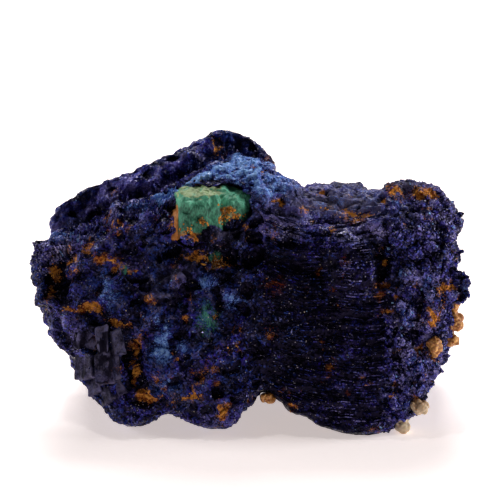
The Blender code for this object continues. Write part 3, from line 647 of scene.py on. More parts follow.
    pale = settled(powdery, 1.1, 0.35)
    powder = {0: bright, 6: linear(POWDER_DEEP), 7: linear(POWDER_BLUE)}
    powder = add_node(tree, "Mix", powder, 2, data_type="RGBA")
    rusty = settled(rust_cover, 1.15, 0.3)
    rust_tone = add_node(tree, "Math", (bright, 0.5, mottled), operation="MULTIPLY_ADD")
    for more in (coarse, gleam):
        rust_tone = add_node(tree, "Math", (rust_tone, more), operation="ADD")
    rust_tone = add_node(tree, "MapRange", (rust_tone, 1.3, 2.15))
    rust_colour = {0: rust_tone, 6: linear(RUST_DARK), 7: linear(RUST_BRIGHT)}
    rust_colour = add_node(tree, "Mix", rust_colour, 2, data_type="RGBA")
    colour = linear(BLACK_BLUE)
    for share, over in (
        (lit, tone),
        (settled(powdery, 1.5, 0.6), linear(CLEAR_BLUE)),
        (pale, powder),
        (settled(greenish, 1.15, 0.6), linear(STAIN_GREEN)),
        (painted_glint, linear(PAINTED_GLINT)),
        (rusty, rust_colour),
    ):
        colour = add_node(tree, "Mix", {0: share, 6: colour, 7: over}, 2, data_type="RGBA")
    tree.links.new(colour, shader.inputs["Base Color"])

    dull = add_node(tree, "Math", (rusty, pale), operation="MAXIMUM")
    dull = add_node(tree, "Math", (dull, slate), operation="MAXIMUM")
    polish = add_node(tree, "MapRange", (gleam, 0.0, 1.0, 0.30, 0.18))
    roughness = add_node(tree, "Math", (dull, 0.55, polish), operation="MULTIPLY_ADD")
    mirror = add_node(tree, "MapRange", (spark, 0.86, 0.88))
    mirror = add_node(tree, "Math", (mirror, plain), operation="MULTIPLY")
    roughness = add_node(tree, "Mix", {0: mirror, 2: roughness, 3: 0.07})
    tree.links.new(roughness, shader.inputs["Roughness"])
    return material


azurite = azurite_material()
points, _ = read_points(skin)
record_cover(skin.data, mineral_cover(points))
# Painted shade and sheen: the barrel's near side gets less gleam, as if in shade, and its top more, as if
# catching the light above.
barrel_shade_and_top_sheen = on_barrel(points) * (1 - 3.6 * smoothstep(17.5, 19.5, points[:, 2]))
bands = 0.45 * on_barrel(points) * noise_at(points * (0.35, 1.0, 1.5), 0.9, 95.0)
gleam = 0.5 + 0.55 * noise_at(points, 1.1, 91.0) - 0.4 * barrel_shade_and_top_sheen + bands
record_cover(skin.data, {"gleam": gleam})
place_in_frame(skin, azurite)
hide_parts("azurite_mass")

# ---------------------------------------------------------------- druses on the azurite mass
# Crusts of small azurite crystals, intergrown and leaning every way. Those of the far side and the
# right end are the coarsest, and those that sit on the barrel's plates the finest.


def crystal_template(width, depth, end_width, end_depth, chisel):
    """A stout azurite crystal one unit long: its points and triangles. One end is drawn in and cut
    slantwise."""
    bpy.ops.object.select_all(action="DESELECT")
    bpy.ops.mesh.primitive_cube_add(size=1)
    obj = bpy.context.object
    obj.scale = (width, depth, 1.0)
    bpy.ops.object.transform_apply(location=False, rotation=False, scale=True)
    apply_modifier(obj, "TRIANGULATE")
    points, _ = read_points(obj)
    top = points[:, 2] > 0
    points[top] *= (end_width, end_depth, 1.0)
    points[top, 2] += chisel * np.sign(points[top, 0])
    faces = np.array([face.vertices[:] for face in obj.data.polygons])
    bpy.data.objects.remove(obj)
    return points, faces


def grain_template():
    """A roundish crystal grain one unit across: its points and triangles."""
    bpy.ops.object.select_all(action="DESELECT")
    bpy.ops.mesh.primitive_ico_sphere_add(subdivisions=1, radius=0.5)
    obj = bpy.context.object
    points, _ = read_points(obj)
    faces = np.array([face.vertices[:] for face in obj.data.polygons])
    bpy.data.objects.remove(obj)
    return points, faces


def unit(vectors):
    return vectors / np.linalg.norm(vectors, axis=1, keepdims=True)


def seat_on_skin(count, density):
    """Picks places on the skin: the points, and the outward directions there. density weighs each
    point of the skin."""
    corners = skin_points[skin_faces]
    sides = np.cross(corners[:, 1] - corners[:, 0], corners[:, 2] - corners[:, 0])
    weights = np.linalg.norm(sides, axis=1) * density[skin_faces].mean(axis=1)
    picked = rng.choice(len(skin_faces), count, p=weights / weights.sum())
    mix = rng.dirichlet((1, 1, 1), count)[:, :, None]
    seats = (corners[picked] * mix).sum(axis=1)
    outward = unit((skin_outward[skin_faces[picked]] * mix).sum(axis=1))
    clear = above_table(seats) > 0.35
    return seats[clear], outward[clear]


def copies_mesh(name, template, seats, axes, sizes):
    """One mesh with a copy of the template at every seat. Each copy stands along its axis, turned
    about it at random, and sizes gives its width, depth and length."""
    shape, faces = template
    side = unit(np.cross(axes, unit(rng.normal(size=seats.shape))))
    frames = np.stack([side, np.cross(axes, side), axes], axis=1)
    placed = np.einsum("pk,ck,ckj->cpj", shape, sizes, frames) + seats[:, None]
    all_faces = faces[None] + (np.arange(len(seats)) * len(shape))[:, None, None]
    mesh = bpy.data.meshes.new(name)
    mesh.from_pydata(placed.reshape(-1, 3), [], all_faces.reshape(-1, 3).tolist())
    obj = bpy.data.objects.new(name, mesh)
    bpy.context.scene.collection.objects.link(obj)
    return obj


def grow_crystals(name, template, seats, axes, sizes, gleam=0.0, spread=0.35):
    """A piece of azurite crystals, each with one set of covers and one gleam."""
    obj = copies_mesh(name, template, seats, axes, sizes)
    cover = mineral_cover(seats)
    cover["gleam"] = gleam + spread * rng.random(len(seats)) + 0.35 + 0.55 * noise_at(seats, 1.1, 91.0)
    # About one crystal in seventy is made fully pale: painted sparkles of light over the crust.
    dusty = rng.random(len(seats)) < 0.015
    cover["powder"] = np.maximum(cover["powder"], 1.3 * dusty)
    points_each = len(template[0])
    record_cover(obj.data, {key: np.repeat(values, points_each) for key, values in cover.items()})
    place_in_frame(obj, azurite)


def grow_druse(name, template, count, density, smallest, largest, lean, gleam=0.0, spread=0.35):
    """A crust of crystals of the given lengths, turned off the surface's normal by lean."""
    seats, outward = seat_on_skin(count, density)
    axes = unit(outward + lean * unit(rng.normal(size=seats.shape)))
    lengths = smallest + (largest - smallest) * rng.random(len(seats)) ** 2
    sizes = lengths[:, None] * rng.uniform(0.7, 1.15, (len(seats), 3))
    seats -= outward * (lengths * 0.22)[:, None]
    grow_crystals(name, template, seats, axes, sizes, gleam, spread)


blocky = crystal_template(0.85, 0.65, 0.6, 0.85, 0.12)
wedged = crystal_template(0.70, 0.45, 0.5, 0.8, 0.2)
rounded = grain_template()
across, back, up = skin_points.T
plates = on_barrel(skin_points)
right_end = smoothstep(-0.6, 0.6, past_barrel(skin_points))
blade = smoothstep(5.0, 6.5, back) * smoothstep(17.0, 19.0, up) * (1 - smoothstep(2.5, 4.0, across))
far_side = smoothstep(9.0, 11.0, back)
columns_here = patches(skin_points, [(-13.9, 7.0, 2.2, 3.4, 1.0)], (0.0, 0.0))
near_face = (1 - plates) * (1 - right_end) * (1 - far_side) * (1 - blade) * (1 - columns_here)
barrel_top = smoothstep(2.0, 4.0, across) * smoothstep(18.6, 19.6, up) * (1 - right_end)
skyline = smoothstep(19.0, 21.0, up) * (1 - smoothstep(13.0, 15.0, back))
near_face *= 1 - 0.9 * barrel_top
far_druse = far_side * (1 - blade) * (1 - 0.8 * skyline)
far_druse *= smoothstep(0.8, 2.4, above_table(skin_points))
behind_hump = smoothstep(-2.0, 0.0, across) * smoothstep(6.0, 8.0, back) * smoothstep(16.0, 18.0, up)
behind_hump *= (1 - right_end) * (1 - blade)
right_side = right_end * (1 - far_side)

grow_druse("near_face_druse", rounded, 9000, near_face, 0.10, 0.26, 2.0)
grow_druse("right_end_druse", blocky, 9000, right_side, 0.14, 0.42, 1.4, -0.25, 1.25)
grow_druse("blade_druse", rounded, 4500, blade * (1 - far_side * 0.5), 0.10, 0.24, 2.0)
grow_druse("far_side_druse", blocky, 9000, far_druse, 0.15, 0.5, 1.6)
grow_druse("plate_druse", rounded, 1500, plates * (1 - right_end), 0.08, 0.20, 2.0)
grow_druse("barrel_top_druse", rounded, 2200, behind_hump, 0.12, 0.26, 2.0, -0.1)

# ---------------------------------------------------------------- the crest and the far left lip
# Along the crest of the rosette and on its far left lip the azurite ends in rows of fine parallel
# crystals, side by side like the teeth of a comb.

CREST = [(across, up - 0.3) for across, up in CREST_EDGE[1:8]]
LIP = [(-20.4, 18.2), (-19.6, 17.6), (-18.8, 17.0), (-17.6, 18.4), (-16.4, 19.3)]


def along(line, spacing):
    """Points along an open line, spaced evenly."""
    line = np.array(line, float)
    lengths = np.concatenate([[0], np.cumsum(np.linalg.norm(np.diff(line, axis=0), axis=1))])
    marks = np.arange(0, lengths[-1], spacing)
    return np.stack([np.interp(marks, lengths, line[:, axis]) for axis in (0, 1)], axis=1)


def meet(tree, across, up):
    """Where the line straight into the display face meets a piece, and the direction outwards there."""
    return tree.ray_cast(Vector((across, -20.0, up)), Vector((0.0, 1.0, 0.0)))[:2]


def grow_teeth(name, line, rows, spacing, length, direction, gleam):
    """Rows of crystals side by side along a line on the display face, all pointing much one way."""
    seats = []
    for row in range(rows):
        for across, up in along(line, spacing):
            up -= row * 0.45 + rng.uniform(0, 0.2)
            hit, _ = meet(skin_tree, across, up)
            if hit is not None:
                seats.append(hit)
    seats = np.array(seats)
    axes = unit(np.array(direction) + 0.18 * rng.normal(size=seats.shape))
    lengths = length * rng.uniform(0.7, 1.25, len(seats))
    sizes = np.stack([lengths * 0.42, lengths * 0.5, lengths], axis=1)
    grow_crystals(name, wedged, seats, axes, sizes, gleam)


grow_teeth("crest_teeth", CREST, 4, 0.20, 0.6, (0.10, -0.55, 1.0), 0.1)
# The lip's high gleam gives its crystals many painted lilac glints.
grow_teeth("lip_teeth", LIP, 5, 0.24, 0.6, (-0.35, -0.6, 0.8), 1.2)

# ---------------------------------------------------------------- broken columns
# Low on the left a bundle of thick azurite crystals has snapped across. Their stumps are smooth and
# slate grey, partly painted sheen, with sharp edges and dark joints between them.

# Across, up, width, length, lean in degrees, how far out, gleam.
STUMPS = [
    (-14.6, 9.5, 1.4, 2.0, 12, 0.40, 0.75), (-15.6, 8.8, 0.9, 1.6, 22, 0.20, 0.45),
    (-13.4, 9.1, 1.0, 2.6, -4, 0.35, 0.90), (-12.45, 8.9, 0.9, 2.2, -12, 0.40, 0.70),
    (-14.9, 6.9, 2.3, 2.6, -2, 0.85, 0.45), (-13.5, 6.5, 1.4, 2.9, -8, 0.70, 0.35),
    (-12.4, 6.7, 0.9, 2.4, -14, 0.30, 0.60), (-14.3, 4.9, 1.5, 2.2, -22, 0.55, 0.70),
    (-13.1, 4.2, 1.3, 2.3, -30, 0.40, 0.50), (-12.2, 4.8, 0.8, 1.8, -26, 0.25, 0.75),
]  # fmt: skip
STUMP_SWELL = (1.25, 2.0, 1.08)  # times width, millimetres deep, times length: they touch


def join_parts(parts, name):
    """Joins parts into the first of them, under a new name."""
    bpy.ops.object.select_all(action="DESELECT")
    for part in parts:
        part.select_set(True)
    bpy.context.view_layer.objects.active = parts[0]
    bpy.ops.object.join()
    parts[0].name = name
    return parts[0]


stumps = []
for across, up, wide, high, lean, out, _ in STUMPS:
    hit = np.array(meet(skin_tree, across, up)[0])
    around = np.linalg.norm(skin_points - hit, axis=1) < 1.5
    outward = unit(skin_outward[around].sum(axis=0, keepdims=True))[0]
    turn = math.atan2(outward[0], -outward[1])
    bpy.ops.object.select_all(action="DESELECT")
    bpy.ops.mesh.primitive_cube_add(
        size=1,
        location=tuple(hit - outward * (1.0 - out)),
        rotation=(rng.uniform(-0.12, 0.12), math.radians(lean), turn + rng.uniform(-0.2, 0.2)),
        scale=tuple(np.array((wide, 1.0, high)) * STUMP_SWELL),
    )
    stump = bpy.context.object
    bpy.ops.object.transform_apply(location=False, rotation=False, scale=True)
    corners, _ = read_points(stump)
    corners[corners[:, 2] > 0] *= (rng.uniform(0.72, 0.95), rng.uniform(0.8, 1.0), 1.0)
    write_points(stump, corners + rng.normal(0.0, 0.13, corners.shape))
    apply_modifier(stump, "BEVEL", width=0.08, segments=1, limit_method="ANGLE")
    apply_modifier(stump, "SUBSURF", subdivision_type="SIMPLE", levels=3, render_levels=3)
    bpy.ops.object.transform_apply(location=True, rotation=True, scale=True)
    stumps.append(stump)
columns = join_parts(stumps, "broken_columns")
apply_modifier(columns, "TRIANGULATE")
points, normals = read_points(columns)
moves = 0.12 * noise_at(points * (1.0, 1.0, 0.5), 0.5, 74.0) + 0.03 * noise_at(points, 0.2, 75.0)
write_points(columns, points + normals * moves[:, None])
points, _ = read_points(columns)
cover = mineral_cover(points)
# Their own slate grey, which partly stands for painted sheen.
cover["slate"] = np.full(len(points), 0.75)
cover["even"] = np.full(len(points), 0.8)
cover["rust"] *= 0.5
cover["shade"] *= 0.0
centres = np.array(STUMPS)[:, :2]
nearest = np.linalg.norm(points[:, None, ::2] - centres, axis=2).argmin(axis=1)
cover["gleam"] = np.array(STUMPS)[nearest, 6] * 0.7 + 0.5 * noise_at(points, 0.6, 76.0)
record_cover(columns.data, cover)
place_in_frame(columns, azurite)

# ---------------------------------------------------------------- plates of the barrel
# The barrel is a stack of thin azurite plates. Their near edges run across it in shallow curves,
# broken where plates have snapped, and their upper sides catch the light.

PLATE_SPACING = 0.25  # millimetres from plate to plate
PLATE_STEP = 0.15  # millimetres from station to station along a plate

ribbon_points, ribbon_faces, ribbon_gleam = [], [], []


def add_plate(run, gleam):
    """One run of plate: four points at each station, joined, with both ends closed."""
    depths = np.array([station[1] for station in run])
    padded = np.pad(depths, 2, mode="edge")
    depths = np.convolve(padded, np.ones(5) / 5, mode="valid")
    start = len(ribbon_points)
    for (across, _, up, out, thick), depth in zip(run, depths):
        ribbon_points.extend(
            [
                (across, depth + 0.4, up + thick * 0.7),
                (across, depth - out, up + thick * 0.5),
                (across, depth - out, up - thick * 0.5),
                (across, depth + 0.4, up - thick * 0.7),
            ]
        )
        ribbon_gleam.extend([gleam] * 4)
    last = start + 4 * (len(run) - 1)
    for row in range(start, last, 4):
        for corner in range(4):
            near, far = row + corner, row + (corner + 1) % 4
            ribbon_faces.extend([(near, far, near + 4), (far, far + 4, near + 4)])
    ribbon_faces.extend([(start, start + 2, start + 1), (start, start + 3, start + 2)])
    ribbon_faces.extend([(last, last + 1, last + 2), (last, last + 2, last + 3)])


def new_run():
    """How long the next run of plate is, how far it stands out, how thick it is, and its gleam."""
    length, push, thick = rng.integers(3, 13), rng.uniform(-0.12, 0.14), rng.uniform(0.05, 0.11)
    return length, push, thick, 1.25 * rng.random() ** 2


for level in np.arange(-0.2, 20.6, PLATE_SPACING):
    level += rng.uniform(-0.08, 0.08)
    run, (run_length, push, thick, gleam) = [], new_run()
    for across in np.arange(-0.6, 14.4, PLATE_STEP):
        wave = 0.32 * noise.noise(Vector((across * 0.32, level * 0.2, 5.0)))
        wave += 0.10 * noise.noise(Vector((across * 1.1, level * 0.5, 15.0)))
        up = level + plate_curve(level, across) + wave
        hit, _ = meet(skin_tree, across, up)
        broad = noise.noise(Vector((across * 0.7, level * 1.6, 25.0)))
        edge = noise.noise(Vector((across * 4.1, level * 7.0, 9.0)))
        out = push + 0.22 * broad + 0.09 * edge
        barrel = on_barrel(np.array([[across, 0.0, up]]))[0]
        if hit is None or hit.y > 9.0 or out < 0.02 or barrel < rng.uniform(0.05, 0.7):
            if len(run) > 2:
                add_plate(run, gleam)
            run, (run_length, push, thick, gleam) = [], new_run()
            continue
        run.append((across, hit.y, up, out, thick))
        if len(run) >= run_length:
            add_plate(run, gleam)
            run, (run_length, push, thick, gleam) = run[-1:], new_run()
    if len(run) > 2:
        add_plate(run, gleam)

plates_mesh = bpy.data.meshes.new("barrel_plates")
plates_mesh.from_pydata(ribbon_points, [], ribbon_faces)
barrel_plates = bpy.data.objects.new("barrel_plates", plates_mesh)
bpy.context.scene.collection.objects.link(barrel_plates)
record_cover(plates_mesh, mineral_cover(np.array(ribbon_points)))
record_cover(plates_mesh, {"gleam": np.array(ribbon_gleam)})
place_in_frame(barrel_plates, azurite)

# ---------------------------------------------------------------- limonite crumbs
# Crumbs and nuggets of limonite, an earthy iron oxide, packed in the hollows of the azurite. They run
# from red-brown to golden and are quite dull, with a few pale bits of dust among them.

LIMONITE_RED = "#602410"
LIMONITE_GOLD = "#de9a44"
LIMONITE_DUST = "#cdbfae"
CRUMBS = 2200
DUST_BITS = 160
# Across, up, which way each nugget lies across and up, length.
NUGGETS = [
    (-18.6, 15.6, 0.35, 1.0, 1.3), (-2.5, 2.3, 0.8, 0.8, 1.2), (-10.7, 6.2, 0.1, 1.0, 0.8),
    (-9.4, 3.9, -0.8, 0.7, 0.9), (-4.2, 16.2, 1.0, -0.2, 0.7), (-12.9, 16.6, 1.0, 0.1, 0.7),
]  # fmt: skip

limonite, tree, shader, place = new_material("earthy_limonite", 1.6, 0.1)
earth = add_node(tree, "TexNoise", {"Vector": place, "Scale": 1 / (0.12 * MM), "Detail": 3.0})
uneven = add_node(tree, "MapRange", (earth, 0.3, 0.7, -0.25, 0.25))
crumb_tone = add_node(tree, "Attribute", out="Fac", attribute_name="crumb")
crumb_tone = add_node(tree, "Math", (crumb_tone, uneven), operation="ADD")
colour = linear(LIMONITE_RED)
for low, high, over in ((0.0, 1.0, LIMONITE_GOLD), (1.3, 1.5, LIMONITE_DUST)):
    share = add_node(tree, "MapRange", (crumb_tone, low, high))
    colour = add_node(tree, "Mix", {0: share, 6: colour, 7: linear(over)}, 2, data_type="RGBA")
tree.links.new(colour, shader.inputs["Base Color"])
roughness = add_node(tree, "MapRange", (earth, 0.3, 0.7, 0.7, 1.0))
tree.links.new(roughness, shader.inputs["Roughness"])

near = 1 - smoothstep(8.0, 11.0, skin_points[:, 1])
rusty = np.clip(patches(skin_points, RUST, ragged_shifts(skin_points)) - 0.45, 0.0, 1.0) * near
rusty *= np.clip(0.4 + 3.0 * recess_at(skin_points), 0.1, 1.0)
seats, outward = seat_on_skin(CRUMBS, rusty)
axes = unit(outward + 0.6 * unit(rng.normal(size=seats.shape)))
widths = rng.uniform(0.07, 0.27, (len(seats), 1))
widths = widths * rng.uniform(0.6, 1.0, (len(seats), 3)) * (1.0, 1.0, 0.7)
tones = rng.uniform(0.0, 1.2, len(seats)) * 0.5 + 0.5 * (0.5 + 2.4 * noise_at(seats, 2.6, 33.0))
dust_seats, dust_outward = seat_on_skin(DUST_BITS, near)
dust_widths = rng.uniform(0.06, 0.14, (len(dust_seats), 3))
nugget_seats, nugget_axes = [], []
for across, up, lean_across, lean_up, _ in NUGGETS:
    hit, outward = meet(skin_tree, across, up)
    nugget_seats.append(hit + outward * 0.08)
    nugget_axes.append((lean_across, 0.1, lean_up))
nugget_axes = unit(np.array(nugget_axes))
nugget_sizes = np.array(NUGGETS)[:, 4:] * (0.34, 0.26, 0.8)
nugget_tones = np.linspace(0.6, 1.0, len(NUGGETS))
crumb_parts = []
for part_seats, part_axes, sizes, part_tones in (
    (seats, axes, widths, tones),
    (dust_seats, dust_outward, dust_widths, np.full(len(dust_seats), 2.0)),
    (np.array(nugget_seats), nugget_axes, nugget_sizes, nugget_tones),
):
    part = copies_mesh("limonite_crumbs", rounded, part_seats, part_axes, sizes)
    record_cover(part.data, {"crumb": np.repeat(part_tones, len(rounded[0]))})
    crumb_parts.append(part)
crumbs = join_parts(crumb_parts, "limonite_crumbs")
place_in_frame(crumbs, limonite)

# ---------------------------------------------------------------- the malachite block
# A lump of malachite set in the crest: silky green in front, weathered tan on top and ochre on its
# left side, with a pitted knob on its right. It is seated in the azurite, which closes round its foot.

MALACHITE_GREEN = "#165541"
MALACHITE_PALE = "#57b08d"
MALACHITE_TAN = "#7b9160"
MALACHITE_OCHRE = "#b4702c"

SOCKET_CRYSTALS = 420
TUFT_CRUMBS = 150

# Middle, size, turn in degrees and worn edge of the four parts of the lump.
LUMP = ((-4.6, 1.2, 20.95), (3.9, 5.0, 4.3), (14, -5, 6), 0.4)
RISE = ((-3.1, 2.1, 22.0), (3.2, 3.6, 3.4), (18, -4, -6), 0.6)
KNOB = ((-1.45, 1.3, 21.45), (2.8, 3.7, 3.3), (22, 8, -24), 0.75)
RIND = ((-6.8, 1.6, 20.0), (0.8, 3.2, 2.3), (20, 10, 8), 0.3)
PITS = [(-1.9, 21.2, 0.6, 0.45, 0.9), (-1.2, 20.7, 0.5, 0.4, 0.8), (-4.3, 20.2, 0.4, 0.3, 0.6)]
TUFTS = [
    (-1.9, 21.2, 0.35, 0.25, 1.0), (-1.3, 20.7, 0.40, 0.25, 1.0), (-4.3, 20.2, 0.25, 0.25, 1.0),
    (-2.5, 20.5, 0.3, 0.2, 1.0), (-5.9, 19.2, 0.35, 0.3, 1.0),
]  # fmt: skip

chunks = []
for centre, size, turn, worn in (LUMP, RISE, KNOB, RIND):
    bpy.ops.object.select_all(action="DESELECT")
    bpy.ops.mesh.primitive_cube_add(
        size=1, location=centre, rotation=[math.radians(angle) for angle in turn], scale=size
    )
    chunk = bpy.context.object
    bpy.ops.object.transform_apply(location=False, rotation=False, scale=True)
    apply_modifier(chunk, "BEVEL", width=worn, segments=1, limit_method="ANGLE")
    bpy.ops.object.transform_apply(location=True, rotation=True, scale=True)
    chunks.append(chunk)
malachite = join_parts(chunks, "malachite_lump")
apply_modifier(malachite, "REMESH", mode="VOXEL", voxel_size=0.10)
apply_modifier(malachite, "SMOOTH", factor=0.7, iterations=8)
points, normals = read_points(malachite)
facets, _ = cells_at(points, 0.9, 44.0)
moves = 0.07 * facets + 0.05 * noise_at(points * (1.0, 1.0, 0.3), 0.2, 45.0)
moves += 0.26 * noise_at(points, 0.9, 46.0) + 0.12 * noise_at(points, 0.4, 47.0)
pitted = patches(points, PITS, ragged_shifts(points)) * (points[:, 1] < 1.8)
write_points(malachite, points + normals * (moves - 0.35 * pitted)[:, None])
points, normals = read_points(malachite)
tan_cover = smoothstep(0.30, 0.75, normals[:, 2]) * smoothstep(21.9, 22.6, points[:, 2])
tan_cover *= 1 - 0.7 * smoothstep(-3.2, -2.2, points[:, 0])
tan_cover *= 0.95 + 1.1 * noise_at(points, 0.6, 49.0)
ochre = 1.2 * (1 - smoothstep(-6.65, -6.45, points[:, 0]))
ochre *= 1 - smoothstep(21.2, 22.2, points[:, 2])
ochre = np.maximum(ochre, 0.8 * pitted)
ochre = np.maximum(ochre, 0.6 * (1 - smoothstep(18.9, 19.5, points[:, 2])))
# Paler green at random, and paler towards the top: a painted highlight where the light from above falls.
pale = 0.35 + 0.5 * noise_at(points, 0.9, 48.0) + 0.5 * smoothstep(21.3, 22.2, points[:, 2])
record_cover(malachite.data, {"tan": tan_cover, "ochre": ochre, "pale": pale})

# Malachite in silky fibres: a soft gloss, broken up along them.
stone, tree, shader, place = new_material("malachite_silky", 1.8, 0.25)
fibres = add_node(tree, "Mapping", {"Vector": place, "Scale": (1.0, 1.0, 0.3)})
fibres = add_node(tree, "TexNoise", {"Vector": fibres, "Scale": 1 / (0.12 * MM), "Detail": 3.0})
streaks = add_node(tree, "MapRange", (fibres, 0.3, 0.7, -0.4, 0.4))
colour = linear(MALACHITE_GREEN)
for name, uneven, low, high, over in (
    ("pale", streaks, 0.1, 1.1, MALACHITE_PALE),
    ("tan", fibres, 0.8, 1.2, MALACHITE_TAN),
    ("ochre", fibres, 0.8, 1.2, MALACHITE_OCHRE),
):
    share = add_node(tree, "Attribute", out="Fac", attribute_name=name)
    share = add_node(tree, "Math", (share, uneven), operation="ADD")
    share = add_node(tree, "MapRange", (share, low, high))
    colour = add_node(tree, "Mix", {0: share, 6: colour, 7: linear(over)}, 2, data_type="RGBA")
tree.links.new(colour, shader.inputs["Base Color"])
roughness = add_node(tree, "MapRange", (fibres, 0.3, 0.7, 0.45, 0.8))
tree.links.new(roughness, shader.inputs["Roughness"])
bump = add_node(tree, "Bump", {"Height": fibres, "Strength": 0.6, "Distance": 0.08 * MM})
tree.links.new(bump, shader.inputs["Normal"])

# Azurite crystals that close round its foot.
malachite_tree = BVHTree.FromObject(malachite, bpy.context.evaluated_depsgraph_get())
seats, axes = [], []
while len(seats) < SOCKET_CRYSTALS:
    across, up = rng.uniform(-6.2, -0.1), rng.uniform(17.8, 20.6)
    brim = 19.0 + 0.28 * (across + 5.0) + 0.7 * noise.noise(Vector((across, 3.0, 0.0)))
    hit, outward = meet(malachite_tree, across, up)
    if hit is not None and up < brim:
        seats.append(hit)
        axes.append(outward)
axes = unit(np.array(axes) + 1.2 * unit(rng.normal(size=(len(axes), 3))))
sizes = rng.uniform(0.25, 0.6, (len(seats), 1)) * rng.uniform(0.7, 1.1, (len(seats), 3))
grow_crystals("socket_druse", blocky, np.array(seats), axes, sizes)

# Golden crumbs of limonite that fill the knob's pits and hang on the lump's lower edge.
seats, axes = [], []
while len(seats) < TUFT_CRUMBS:
    across, up, wide, high, _ = TUFTS[rng.integers(len(TUFTS))]
    shift = rng.normal(size=2) * (wide, high)
    hit, outward = meet(malachite_tree, across + shift[0], up + shift[1])
    if hit is not None:
        seats.append(hit)
        axes.append(outward)
sizes = rng.uniform(0.10, 0.34, (len(seats), 1)) * rng.uniform(0.6, 1.0, (len(seats), 3))
tufts = copies_mesh("limonite_tufts", rounded, np.array(seats), unit(np.array(axes)), sizes)
tones = rng.uniform(0.1, 1.15, len(seats))
record_cover(tufts.data, {"crumb": np.repeat(tones, len(rounded[0]))})
place_in_frame(tufts, limonite)
place_in_frame(malachite, stone)
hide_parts("malachite_block")

# ---------------------------------------------------------------- host rock grains
# Grains of the sandy host rock, held by the crystals where the cluster broke off it: tan, slightly
# see-through, and rough as sugar.

GRAIN_TAN = "#8c4c1a"
GRAIN_GOLD = "#d6a05a"
GRAIN_PALE = "#d3c3a6"

GRAIN_NODES = [f"tan_grain_{number}" for number in range(1, 8)]

grains = join_parts([copy_on_face(node, node + "_copy") for node in GRAIN_NODES], "host_rock_grains")
apply_modifier(grains, "REMESH", mode="VOXEL", voxel_size=0.07)
points, normals = read_points(grains)
_, inside = cells_at(points, 0.9, 54.0)
moves = 0.26 * noise_at(points, 1.1, 56.0) + 0.16 * smoothstep(0.0, 0.35, inside)
moves += 0.05 * noise_at(points, 0.25, 55.0)
write_points(grains, points + normals * moves[:, None])
bleached = 0.85 * (1 - smoothstep(2.0, 4.5, points[:, 2])) * smoothstep(8.0, 10.0, points[:, 0])
record_cover(grains.data, {"bleached": bleached})

# Sandstone grains: light goes a little way into them, and their rough faces scatter it.
rock, tree, shader, place = new_material("sandy_host_rock", 1.55, 0.4)
sand = add_node(tree, "TexNoise", {"Vector": place, "Scale": 1 / (0.25 * MM), "Detail": 3.0})
golden = add_node(tree, "MapRange", (sand, 0.38, 0.66))
bleaching = add_node(tree, "Attribute", out="Fac", attribute_name="bleached")
colour = linear(GRAIN_TAN)
for share, over in ((golden, GRAIN_GOLD), (bleaching, GRAIN_PALE)):
    colour = add_node(tree, "Mix", {0: share, 6: colour, 7: linear(over)}, 2, data_type="RGBA")
tree.links.new(colour, shader.inputs["Base Color"])
shader.inputs["Subsurface Weight"].default_value = 0.3
shader.inputs["Subsurface Radius"].default_value = (1.0, 0.7, 0.4)
shader.inputs["Subsurface Scale"].default_value = 0.4 * MM
roughness = add_node(tree, "MapRange", (sand, 0.3, 0.7, 0.35, 0.7))
tree.links.new(roughness, shader.inputs["Roughness"])
bump = add_node(tree, "Bump", {"Height": sand, "Strength": 0.5, "Distance": 0.06 * MM})
tree.links.new(bump, shader.inputs["Normal"])
place_in_frame(grains, rock)
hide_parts(*GRAIN_NODES)

# ---------------------------------------------------------------- floor, light and camera
# A sheet of matt white card that glows a little, as on a light table, soft lights above and at both
# sides, a small one that makes the facets sparkle, and a camera that looks straight at the display face.

CARD_SHADE = "#efe6e3"
CARD_WHITE = "#f6efed"
CARD_GLOW = "#fff2ef"
CAMERA_DISTANCE = 0.35  # metres
SENSOR_WIDTH = 36.0
VIEW_WIDTH = 47.19  # how much the frame takes in, at the aim, in millimetres
AIM = Vector((0.14, 5.0, 17.55))

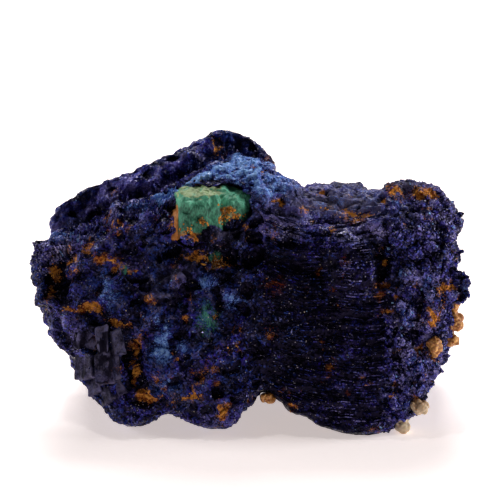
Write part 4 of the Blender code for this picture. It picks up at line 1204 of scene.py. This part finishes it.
bpy.ops.object.select_all(action="DESELECT")
bpy.ops.mesh.primitive_plane_add(size=1.6, location=(0, 0.2, 0))
floor = bpy.context.object
floor.name = "card_floor"
card, tree, shader, place = new_material("white_card", 1.45, 0.3)
fleck = add_node(tree, "TexNoise", {"Vector": place, "Scale": 1 / (0.6 * MM), "Detail": 3.0})
card_tone = add_node(tree, "MapRange", (fleck, 0.3, 0.7))
card_tone = {0: card_tone, 6: linear(CARD_SHADE), 7: linear(CARD_WHITE)}
card_tone = add_node(tree, "Mix", card_tone, 2, data_type="RGBA")
tree.links.new(card_tone, shader.inputs["Base Color"])
shader.inputs["Emission Color"].default_value = linear(CARD_GLOW)
shader.inputs["Emission Strength"].default_value = 0.54
shader.inputs["Roughness"].default_value = 0.6
bump = add_node(tree, "Bump", {"Height": fleck, "Strength": 0.4, "Distance": 0.05 * MM})
tree.links.new(bump, shader.inputs["Normal"])
floor.data.materials.append(card)
floor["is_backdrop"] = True


for name, place, size, power, colour in (
    ("top_light", (0.0, 0.30, 0.32), 0.20, 1.8, (1.0, 0.98, 0.97)),
    ("left_light", (-0.36, 0.06, 0.12), 0.12, 0.55, (0.97, 0.98, 1.0)),
    ("right_light", (0.36, 0.02, 0.12), 0.12, 1.1, (0.97, 0.98, 1.0)),
    ("spark_light", (-0.10, 0.02, 0.40), 0.02, 0.2, (1.0, 1.0, 1.0)),
):
    bpy.ops.object.light_add(type="AREA", location=place)
    light = bpy.context.object
    light.name = name
    light.data.size = size
    light.data.energy = power
    light.data.color = colour
    toward = Vector((0, 0, 0.01)) - Vector(place)
    light.rotation_euler = toward.to_track_quat("-Z", "Y").to_euler()

world = bpy.data.worlds.new("studio")
bpy.context.scene.world = world
world.use_nodes = True
tree = world.node_tree
background = tree.nodes["Background"]
seen = add_node(tree, "LightPath", out="Is Camera Ray")
strength = add_node(tree, "MapRange", (seen, 0.0, 1.0, 0.04, 1.0))
tree.links.new(strength, background.inputs["Strength"])
background.inputs["Color"].default_value = (1, 1, 1, 1)

camera_data = bpy.data.cameras.new("camera")
camera = bpy.data.objects.new("camera", camera_data)
bpy.context.scene.collection.objects.link(camera)
toward_viewer = Vector((0, -math.cos(DISPLAY_LEAN), math.sin(DISPLAY_LEAN)))
camera.location = FACE_TO_FRAME @ AIM + toward_viewer * CAMERA_DISTANCE
camera.rotation_euler = (-toward_viewer).to_track_quat("-Z", "Y").to_euler()
camera_data.sensor_width = SENSOR_WIDTH
camera_data.lens = SENSOR_WIDTH * CAMERA_DISTANCE / (VIEW_WIDTH * MM)
camera_data.clip_start = 0.01
bpy.context.scene.camera = camera
bpy.context.scene.view_settings.view_transform = "Standard"

sizes = {"cad": cad_box, "visual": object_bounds()}
